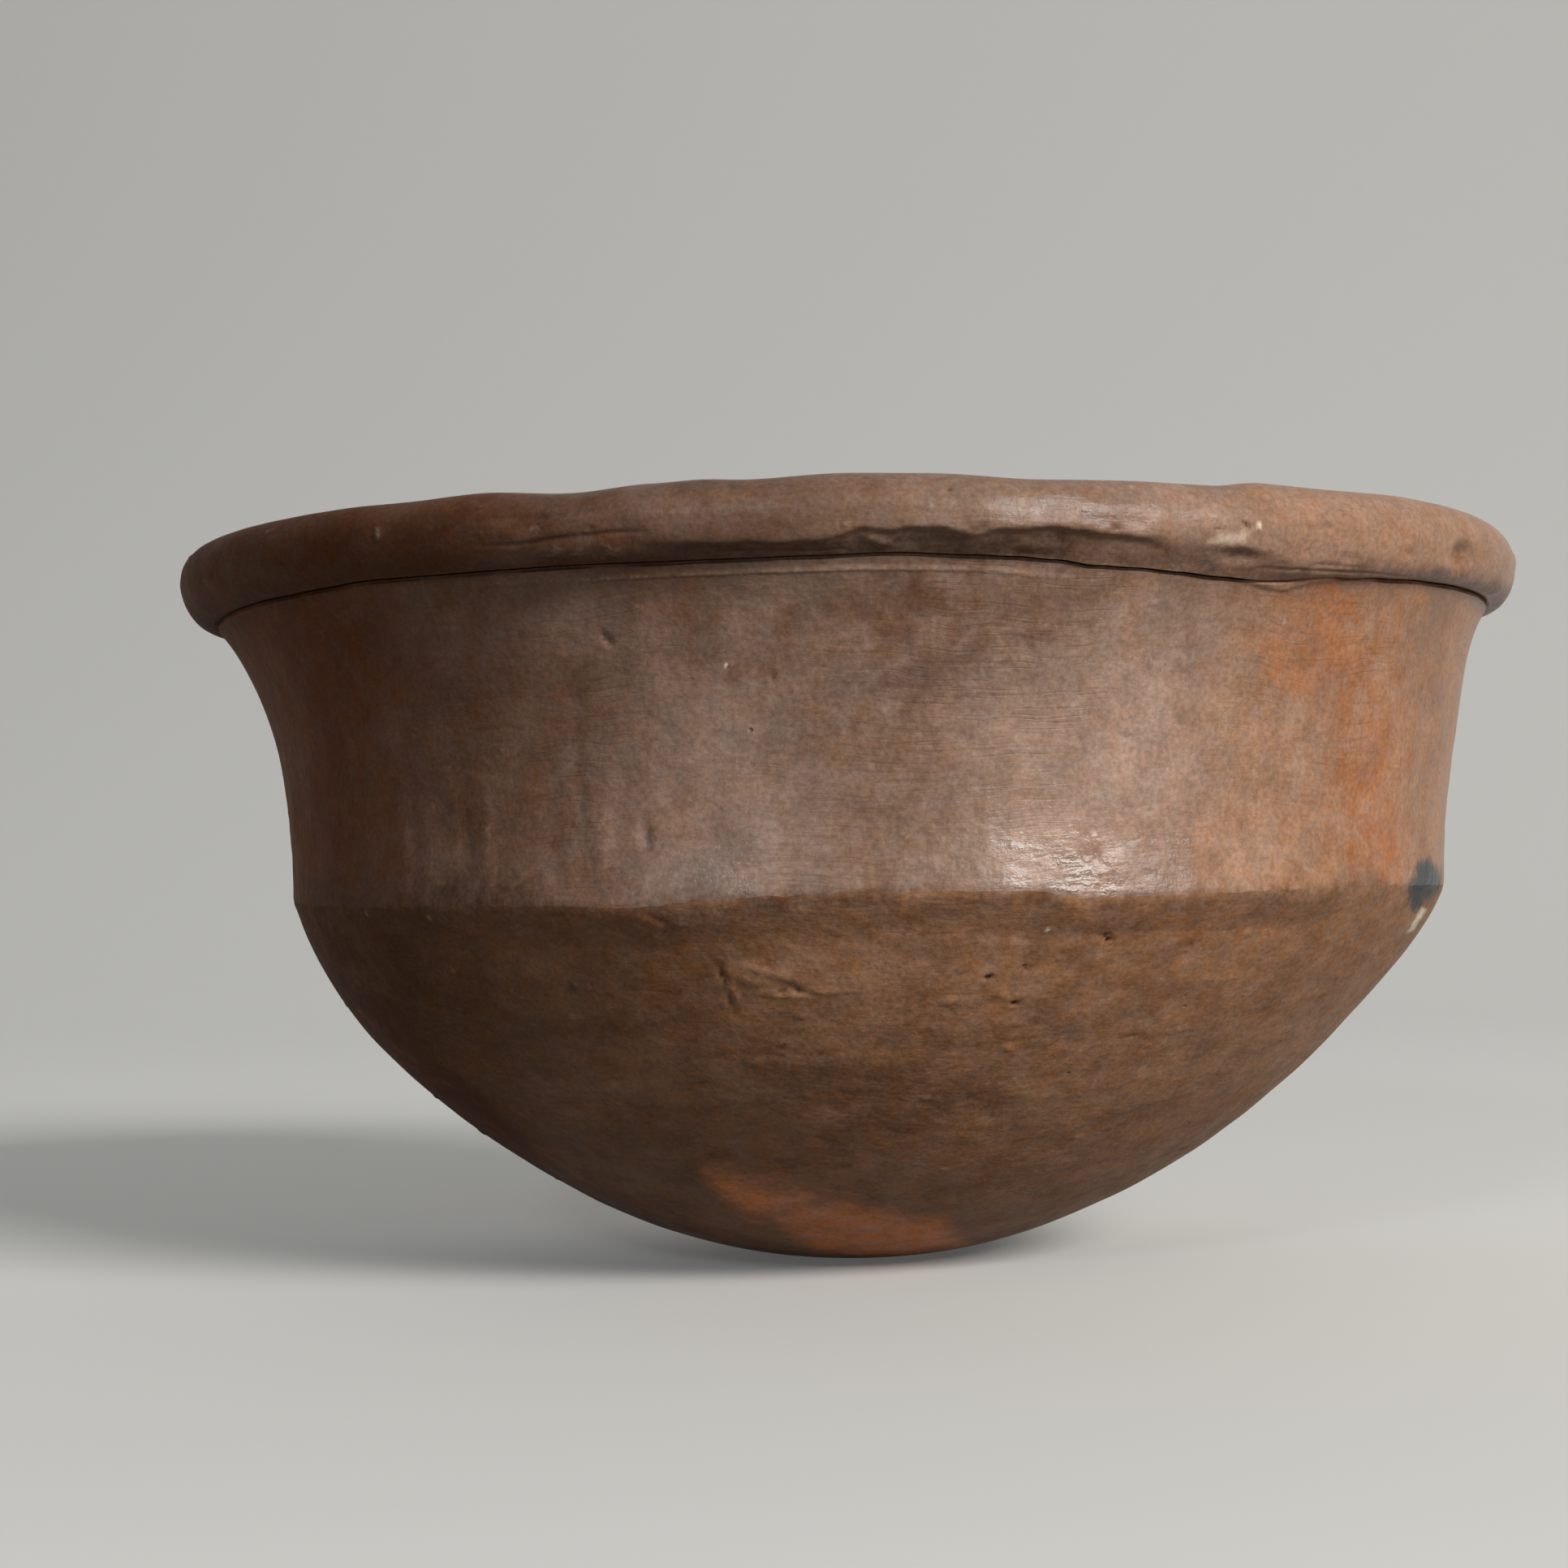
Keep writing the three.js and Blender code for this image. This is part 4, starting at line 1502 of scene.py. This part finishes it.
def grit_pits():
    group, given, out = new_group(
        "grit_pits", [("Place", "Vector"), ("Spacing", "Float"), ("Size", "Float"), ("Share", "Float")],
        [("Pit", "Float")],
    )
    cells = add(group, "ShaderNodeTexVoronoi", {"Vector": given["Place"], "Scale": given["Spacing"]}).outputs
    chance = add(group, "ShaderNodeSeparateColor", {0: cells["Color"]}).outputs[0]
    chosen = maths(group, "LESS_THAN", chance, given["Share"])
    away = maths(group, "DIVIDE", cells["Distance"], given["Size"])
    inside = maths(group, "SUBTRACT", 1.0, between(group, away, *PIT_EDGE))
    group.links.new(maths(group, "MULTIPLY", inside, chosen), out["Pit"])
    return group


pits = grit_pits()

# %% [markdown]
# ## Stains
# Broad flushes of rose, tan, rust and brown lie where smoke and flame came and went. They could be
# patches on the vertices like the marks, but their edges are too soft and too ragged for an outline.
# Each is an oval about a centre, whose distance is disturbed by noise before it fades out.

# %% Group: stain
def ragged_stain():
    group, given, out = new_group(
        "ragged_stain",
        [("Place", "Vector"), ("Centre", "Vector"), ("Reach", "Vector"), ("Ragged", "Float"), ("Fineness", "Float")],
        [("Mask", "Float")],
    )
    offset = add(group, "ShaderNodeVectorMath", {0: given["Place"], 1: given["Centre"]}, operation="SUBTRACT")
    share = add(group, "ShaderNodeVectorMath", {0: offset.outputs[0], 1: given["Reach"]}, operation="DIVIDE")
    away = add(group, "ShaderNodeVectorMath", {0: share.outputs[0]}, operation="LENGTH").outputs["Value"]
    noisy = grains(group, given["Place"], given["Fineness"], detail=6, roughness=0.68)
    rough = maths(group, "SUBTRACT", noisy, 0.5)
    ragged = maths(group, "ADD", away, maths(group, "MULTIPLY", rough, given["Ragged"]))
    group.links.new(maths(group, "SUBTRACT", 1.0, between(group, ragged, 0.0, 1.0)), out["Mask"])
    return group


stain = ragged_stain()

# %% [markdown]
# ## Torn edges of the tints
# The tints were laid on vertices, which stand about half a millimetre apart, so by themselves they
# would look blurred. More vertices would sharpen them. A noise finer than the vertices, added to the
# tint before it is cut off, tears the edge as worn clay is torn.

# %% Group: torn tint
TINT_CUT = (0.1, 0.9)
TINT_LEAST = 0.12


def torn_tint():
    group, given, out = new_group(
        "torn_tint", [("Place", "Vector"), ("Tint", "Float"), ("Ragged", "Float"), ("Fineness", "Float")],
        [("Mask", "Float")],
    )
    noisy = grains(group, given["Place"], given["Fineness"], detail=5, roughness=0.7)
    rough = maths(group, "SUBTRACT", noisy, 0.5)
    ragged = maths(group, "ADD", given["Tint"], maths(group, "MULTIPLY", rough, given["Ragged"]))
    here = between(group, given["Tint"], 0.0, TINT_LEAST)
    group.links.new(maths(group, "MULTIPLY", between(group, ragged, *TINT_CUT), here), out["Mask"])
    return group


torn = torn_tint()

# %% [markdown]
# ## The colour of a clay
# The colour is built up as the fire and the years built it: the fired clay, its stains, flecks of
# sand, streaks and pits, then the tints in the order in which they lie over each other, and the grain
# over all. Some stains are painted sheen, the grime tint also paints shade in hollows, and the wear
# tint also paints highlights on a few raised spots. A row of colour ramps could do it, but mixing one
# layer at a time keeps each mark's own colour.

# %% Layers of colour
# the grime tone is dirt and also painted shade in hollows, in the crease and under the ridge
GRIME_AND_SHADE = srgb(70, 44, 29)
EMBER = srgb(255, 170, 122)
SOOT = srgb(62, 64, 65)
LIME = srgb(228, 214, 186)
TINT_EDGES = {
    "grime_and_shade": (1.2, 260.0), "ember": (1.0, 110.0), "soot": (1.5, 260.0), "wear_and_highlight": (1.4, 420.0), "lime": (0.8, 500.0),
}
FLECK_SPACING = 140.0
FLECK_SIZE = 0.14
FLECK_SHARE = 0.5
STREAK_SHADE = 0.88
PIT_SHADE = 0.65


def use(tree, group, inputs):
    return add(tree, "ShaderNodeGroup", inputs, node_tree=group).outputs


def tint_mask(tree, place, tint, ragged, fineness):
    laid = add(tree, "ShaderNodeAttribute", {}, attribute_name=tint).outputs["Fac"]
    return use(tree, torn, {"Place": place, "Tint": laid, "Ragged": ragged, "Fineness": fineness})["Mask"]


def clay_colour(tree, place, look, stains, streak, pit):
    inputs = {"Place": place, "Dark": look["dark"], "Rosy": look["rosy"], "Warm": look["warm"],
              "Smoke": look["smoke"], "Smoke Share": look["smoke_share"], "Smoked And Shaded Side": look["smoked_and_shaded_side"],
              "Flattening": look["flattening"]}
    colour = use(tree, fired, inputs)["Color"]
    for centre, reach, tone, strength, ragged, fineness in stains:
        inputs = {"Place": place, "Centre": centre, "Reach": reach, "Ragged": ragged, "Fineness": fineness}
        mask = use(tree, stain, inputs)["Mask"]
        colour = mixed(tree, maths(tree, "MULTIPLY", mask, strength), colour, tone)
    inputs = {"Place": place, "Spacing": FLECK_SPACING, "Size": FLECK_SIZE, "Share": look["pit_share"]}
    fleck = use(tree, pits, inputs)["Pit"]
    colour = mixed(tree, maths(tree, "MULTIPLY", fleck, FLECK_SHARE), colour, look["worn_and_highlight"])
    colour = scaled(tree, colour, between(tree, streak, 0.0, 1.0, 1.0, STREAK_SHADE))
    colour = scaled(tree, colour, between(tree, pit, 0.0, 1.0, 1.0, PIT_SHADE))
    # the grime tone also paints shade in hollows, and the worn tone also paints highlights
    tones = {"grime_and_shade": GRIME_AND_SHADE, "ember": EMBER, "soot": SOOT, "wear_and_highlight": look["worn_and_highlight"], "lime": LIME}
    for tint, (ragged, fineness) in TINT_EDGES.items():
        colour = mixed(tree, tint_mask(tree, place, tint, ragged, fineness), colour, tones[tint])
    inputs = {"Place": place, "Color": colour, "Flattening": look["flattening"], "Mottling": look["mottling"]}
    return use(tree, grain, inputs)["Color"]


print("tints are laid in the order", ", ".join(TINT_EDGES))

# %% [markdown]
# ## The sheen of a clay
# Burnished clay shines softly, unevenly, and least on the smoked left. Two polished flats over the
# ridge shine most. A coat layer could add the shine, but there is no glaze on this bowl: the clay
# itself was pressed smooth. So only the roughness changes, down where it is polished and up where
# soot lies.

# %% Roughness
RUBBED_FINENESS = 110
RUBBED_SPREAD = (0.3, 0.7)
MATT = 0.8
MATT_SIDE = (-0.03, -0.075)
POLISH_DEPTH = 0.17
POLISH_EDGE = (2.6, 200.0)


def clay_sheen(tree, place, roughness):
    uneven = grains(tree, place, RUBBED_FINENESS, detail=7, roughness=0.75)
    rubbed = between(tree, uneven, *RUBBED_SPREAD, *roughness)
    sooty = maths(tree, "MAXIMUM", rubbed, between(tree, parts_of(tree, place)[0], *MATT_SIDE, 0.0, MATT))
    polish = maths(tree, "MULTIPLY", tint_mask(tree, place, "polish", *POLISH_EDGE), POLISH_DEPTH)
    return maths(tree, "SUBTRACT", sooty, polish)


print("roughness reaches", MATT, "on the smoked side")

# %% [markdown]
# ## One recipe for three clays
# All three members are the same clay from the same fire, and differ in how they were finished: the
# wall was burnished most, the base lies in smoke, the rim was only smoothed. Three materials could be
# built apart. One recipe with a table of values for each shows what differs.

# %% Recipe for a clay
STREAK_FINENESS = 70.0
PIT_SPACING = 230.0
PIT_SIZE = 0.12
SKIN_GRAIN = 0.5
BUMP_STRENGTH = 0.8
BUMP_DISTANCE = 0.25 * MM


def make_clay(name, look, stains):
    clay = bpy.data.materials.new(name)
    clay.use_nodes = True
    tree = clay.node_tree
    shader = tree.nodes["Principled BSDF"]
    shader.inputs["Specular IOR Level"].default_value = look["gloss"]
    place = add(tree, "ShaderNodeTexCoord", {}).outputs["Object"]
    streak = use(tree, burnish, {"Place": place, "Fineness": STREAK_FINENESS})["Streak"]
    inputs = {"Place": place, "Spacing": PIT_SPACING, "Size": PIT_SIZE, "Share": look["pit_share"]}
    pit = use(tree, pits, inputs)["Pit"]
    tree.links.new(clay_colour(tree, place, look, stains, streak, pit), shader.inputs["Base Color"])
    tree.links.new(clay_sheen(tree, place, look["roughness"]), shader.inputs["Roughness"])
    uneven = use(tree, smoothing, {"Place": place, "Grain": SKIN_GRAIN})["Height"]
    height = maths(tree, "SUBTRACT", uneven, maths(tree, "MULTIPLY", streak, look["streak_bump"]))
    height = maths(tree, "SUBTRACT", height, pit)
    inputs = {"Height": height, "Strength": BUMP_STRENGTH, "Distance": BUMP_DISTANCE}
    tree.links.new(add(tree, "ShaderNodeBump", inputs).outputs[0], shader.inputs["Normal"])
    print(name, "has", len(stains), "stains and", len(tree.nodes), "nodes")
    return clay


print("cells for pits are about", round(1 / PIT_SPACING / MM, 1), "mm wide")

# %% [markdown]
# ## Where the stains lie
# The flame reached the right of the bowl and left rust and tan there. Smoke lay on the left and low
# down. Where the wall and the roll shine, pale rose and grey stains are painted sheen. They could be
# strewn by noise, but the eye knows this bowl by them. Each row has a pixel, how far the stain reaches
# across and up in millimetres, a tone, a strength, how ragged it is, and how fine its rags are.

# %% Stains
TAN = srgb(186, 142, 112)
# rose is a stain tone and is also used as painted sheen
ROSE_AND_SHEEN = srgb(182, 150, 132)
UMBER = srgb(104, 70, 50)
RUST = srgb(178, 112, 70)
# a pale grey used as painted sheen
PAINTED_SHEEN_GREY = srgb(138, 129, 124)
WALL_STAINS = {
    # the next three rows are painted sheen, pale tones where the lamps shine on the wall
    "painted sheen by the polish": ((1330, 930), 40, 44, ROSE_AND_SHEEN, 0.6, 1.2, 30.0),
    "left painted sheen": ((860, 990), 26, 34, ROSE_AND_SHEEN, 0.45, 1.2, 30.0),
    "painted sheen over the ridge": ((868, 1074), 17, 10, PAINTED_SHEEN_GREY, 0.4, 1.6, 60.0),
    "painted sheen on the roll under the rim": ((740, 770), 22, 13, ROSE_AND_SHEEN, 0.4, 2.0, 50.0),
    "brown cloud": ((1150, 800), 18, 18, UMBER, 0.6, 4.0, 130.0),
    "brown under the rim": ((1060, 745), 22, 9, UMBER, 0.42, 4.0, 130.0),
    "brown on the right": ((1640, 800), 24, 20, UMBER, 0.35, 4.0, 120.0),
    "rust over the brown": ((1640, 800), 22, 16, RUST, 0.5, 4.0, 120.0),
    "rust on the right": ((1690, 950), 14, 30, RUST, 0.6, 3.4, 110.0),
    "rust by the fire cloud": ((1712, 1060), 12, 14, RUST, 0.7, 2.4, 110.0),
    "brown along the ridge": ((1680, 1088), 16, 5, UMBER, 0.5, 2.0, 90.0),
    "tan by the ridge": ((1530, 1050), 24, 15, TAN, 0.35, 1.6, 60.0),
    "tan above it": ((1560, 930), 26, 26, TAN, 0.42, 2.0, 60.0),
    "brown under the fold": ((1290, 745), 24, 8, UMBER, 0.45, 3.0, 100.0),
    "brown at the right edge": ((1760, 790), 18, 24, UMBER, 0.3, 3.0, 100.0),
}
BASE_STAINS = {
    "tan in the middle": ((1250, 1200), 60, 20, TAN, 0.22, 2.4, 60.0),
    "tan below it": ((1350, 1340), 30, 14, TAN, 0.22, 2.4, 60.0),
    "smoked left": ((620, 1220), 44, 56, UMBER, 0.35, 1.2, 40.0),
    "rust on the right": ((1500, 1180), 40, 16, RUST, 0.15, 2.0, 60.0),
    "tan on the left": ((850, 1330), 22, 16, TAN, 0.24, 2.4, 60.0),
    "tan over the flame patch": ((1090, 1452), 26, 9, TAN, 0.3, 2.4, 60.0),
    "tan under the ridge": ((895, 1132), 17, 7, TAN, 0.4, 2.0, 60.0),
    "second tan under the ridge": ((1175, 1124), 17, 7, TAN, 0.4, 2.0, 60.0),
    "smoke low on the left": ((740, 1420), 34, 22, UMBER, 0.5, 1.6, 50.0),
}
RIM_STAINS = {
    # both rows are painted sheen where the key lamp shines on the roll
    "painted sheen on the roll": ((830, 625), 24, 8, ROSE_AND_SHEEN, 0.26, 2.0, 60.0),
    "right painted sheen on the roll": ((1450, 622), 18, 8, ROSE_AND_SHEEN, 0.34, 2.0, 60.0),
}


def stains_on(clay, rows):
    """Stains with each pixel turned to the spot it shows; a stain is as deep as it is wide."""
    placed = []
    for pixel, across, up, tone, strength, ragged, fineness in rows.values():
        centre, _ = clay.spot(pixel)
        reach = Vector((across, max(across, up), up)) * MM
        placed.append((centre, reach, tone, strength, ragged, fineness))
    return placed


wall_stains = stains_on(wall_clay, WALL_STAINS)
base_stains = stains_on(base_clay, BASE_STAINS)
rim_stains = stains_on(rim_clay, RIM_STAINS)
print("stains:", len(wall_stains), "on the wall,", len(base_stains), "on the base,", len(rim_stains), "on the rim")

# %% [markdown]
# ## The three clays
# These are the values that make the base dull and smoke-mottled, the wall burnished and rosy, and the
# rim smooth. They could be guessed from pictures of other bowls, but each was set by comparing a render
# with this one. The smoked and shaded side is the place along X, in metres, where the dark clay, partly
# smoke and partly painted shade, begins to turn.

# %% Clays of the members
# the worn tone of each clay is wear and also paints highlights on a few raised spots
BASE_LOOK = {
    "dark": srgb(72, 40, 19), "rosy": srgb(155, 113, 84), "warm": srgb(150, 111, 83),
    "smoke": srgb(109, 75, 54), "worn_and_highlight": srgb(182, 138, 104),
    "smoke_share": 0.6, "smoked_and_shaded_side": -0.094, "flattening": 2.0, "mottling": 1.1,
    "roughness": (0.5, 0.68), "gloss": 0.14, "streak_bump": 0.08, "pit_share": 0.1,
}
WALL_LOOK = {
    "dark": srgb(92, 49, 20), "rosy": srgb(143, 115, 98), "warm": srgb(165, 121, 91),
    "smoke": srgb(114, 75, 49), "worn_and_highlight": srgb(190, 158, 138),
    "smoke_share": 0.62, "smoked_and_shaded_side": -0.1, "flattening": 1.0, "mottling": 0.9,
    "roughness": (0.27, 0.46), "gloss": 0.25, "streak_bump": 0.19, "pit_share": 0.025,
}
RIM_LOOK = {
    "dark": srgb(78, 42, 18), "rosy": srgb(139, 110, 92), "warm": srgb(162, 124, 100),
    "smoke": srgb(112, 80, 60), "worn_and_highlight": srgb(188, 162, 144),
    "smoke_share": 0.34, "smoked_and_shaded_side": -0.08, "flattening": 2.2, "mottling": 0.6,
    "roughness": (0.3, 0.46), "gloss": 0.2, "streak_bump": 0.08, "pit_share": 0.04,
}
round_base.data.materials.append(make_clay("smoked_base_clay", BASE_LOOK, base_stains))
flared_wall.data.materials.append(make_clay("burnished_wall_clay", WALL_LOOK, wall_stains))
rolled_rim.data.materials.append(make_clay("rolled_rim_clay", RIM_LOOK, rim_stains))

# %% [markdown]
# ## Floor and backdrop
# In the studio the bowl stands on pale paper that sweeps up behind it, so no horizon cuts across the
# picture. Two planes would meet in a line. One strip is extruded from three points, and its corner is
# bevelled to a wide round.

# %% Floor and backdrop
FLOOR_FRONT = -2.5
FLOOR_BACK = 2.2
FLOOR_WIDTH = 7.0
BACKDROP_HEIGHT = 2.6
SWEEP_RADIUS = 1.2
SWEEP_STEPS = 24


def make_floor():
    shape = bmesh.new()
    line = [(0, FLOOR_FRONT, 0), (0, FLOOR_BACK, 0), (0, FLOOR_BACK, BACKDROP_HEIGHT)]
    points = [shape.verts.new(Vector(place) - Vector((FLOOR_WIDTH / 2, 0, 0))) for place in line]
    edges = [shape.edges.new(pair) for pair in zip(points, points[1:])]
    swept = bmesh.ops.extrude_edge_only(shape, edges=edges)
    moved = [part for part in swept["geom"] if isinstance(part, bmesh.types.BMVert)]
    bmesh.ops.translate(shape, verts=moved, vec=(FLOOR_WIDTH, 0, 0))
    corner = [
        edge for edge in shape.edges
        if all(abs(v.co.y - FLOOR_BACK) < MM and abs(v.co.z) < MM for v in edge.verts)
    ]
    bmesh.ops.bevel(
        shape, geom=corner, offset=SWEEP_RADIUS, segments=SWEEP_STEPS, profile=0.5,
        affect="EDGES", material=-1,
    )
    mesh = bpy.data.meshes.new("studio_floor")
    shape.to_mesh(mesh)
    shape.free()
    mesh.polygons.foreach_set("use_smooth", [True] * len(mesh.polygons))
    floor = bpy.data.objects.new("studio_floor", mesh)
    bpy.context.scene.collection.objects.link(floor)
    return floor


floor = make_floor()
print("the floor has", len(floor.data.polygons), "faces")

# %% [markdown]
# ## The paper
# The paper looks pale, yet it may throw back little light, or it would fill the shadow under the
# round base. A grey paper in a brighter light would lose its paleness. So rays that show the paper
# meet a pale tone, and rays that only carry light meet a darker one.

# %% Pale paper
PAPER_SEEN = srgb(226, 226, 223)
PAPER_BOUNCE = srgb(108, 104, 98)
PAPER_GLOW = 0.1
BACK_GLOW = 1.0
PAPER_ROUGHNESS = 0.9


def seen_ray(tree):
    """One for the rays that show a surface: straight to the camera, in a gloss or through glass."""
    path = add(tree, "ShaderNodeLightPath", {}).outputs
    shown = maths(tree, "MAXIMUM", path["Is Camera Ray"], path["Is Glossy Ray"])
    return maths(tree, "MAXIMUM", shown, path["Is Transmission Ray"])


def make_paper():
    paper = bpy.data.materials.new("pale_paper")
    paper.use_nodes = True
    tree = paper.node_tree
    shader = tree.nodes["Principled BSDF"]
    seen = seen_ray(tree)
    tree.links.new(mixed(tree, seen, PAPER_BOUNCE, PAPER_SEEN), shader.inputs["Base Color"])
    depth = parts_of(tree, add(tree, "ShaderNodeTexCoord", {}).outputs["Object"])[1]
    # the back of the sweep glows for the rays that carry light, so it lights the back of the bowl as a soft lamp
    # would
    back = between(tree, depth, FLOOR_BACK - SWEEP_RADIUS, FLOOR_BACK, 0.0, BACK_GLOW)
    glow = add(tree, "ShaderNodeMix", {0: seen, 2: back, 3: PAPER_GLOW}, data_type="FLOAT").outputs[0]
    tree.links.new(glow, shader.inputs["Emission Strength"])
    shader.inputs["Emission Color"].default_value = PAPER_SEEN
    shader.inputs["Roughness"].default_value = PAPER_ROUGHNESS
    return paper


floor.data.materials.append(make_paper())
print("paper:", floor.data.materials[0].name)

# %% [markdown]
# ## Lamps
# The bowl is lit from the right and a little above, which leaves its left in soft shade, and a small
# cool lamp on the left puts the second shine over the ridge. Sun lamps would draw hard edges. Area
# lamps are soft as studio boxes are, and their shapes are what the burnish mirrors.

# %% Lamps
AIM = Vector((0, 0, 0.09))
LAMP_DISTANCE = 3.0


def soft_lamp(name, azimuth, elevation, wide, tall, watts, tint):
    lamp = bpy.data.lights.new(name, "AREA")
    lamp.shape = "RECTANGLE"
    lamp.size = wide
    lamp.size_y = tall
    lamp.energy = watts
    lamp.color = tint
    turn, rise = math.radians(azimuth), math.radians(elevation)
    away = Vector((math.sin(turn) * math.cos(rise), -math.cos(turn) * math.cos(rise), math.sin(rise)))
    holder = bpy.data.objects.new(name, lamp)
    holder.location = AIM + away * LAMP_DISTANCE
    holder.rotation_euler = away.to_track_quat("Z", "Y").to_euler()
    bpy.context.scene.collection.objects.link(holder)
    print(name, watts, "watts at", azimuth, "degrees round and", elevation, "up")


soft_lamp("key_softbox", azimuth=42, elevation=25, wide=1.25, tall=0.8, watts=86, tint=(1.0, 0.98, 0.95))
soft_lamp("left_fill", azimuth=-17, elevation=22.5, wide=0.36, tall=0.36, watts=11, tint=(0.86, 0.94, 1.0))

# %% [markdown]
# ## The air of the studio
# Beyond the paper the room is pale too, but it gives only a little light, so that the shade on the
# left stays deep. A brighter room would flatten the bowl. The same test of rays as for the paper
# tells what is seen from what only lights. The view transform is plain, so that colours come out as
# they were set.

# %% Studio air
AIR_SEEN = srgb(184, 184, 182)
AIR_LIGHT = srgb(62, 61, 60)


def make_air():
    air = bpy.data.worlds.new("studio_air")
    air.use_nodes = True
    tree = air.node_tree
    tree.links.new(mixed(tree, seen_ray(tree), AIR_LIGHT, AIR_SEEN), tree.nodes["Background"].inputs["Color"])
    bpy.context.scene.world = air
    return air


air = make_air()
bpy.context.scene.view_settings.view_transform = "Standard"
print("air:", air.name)
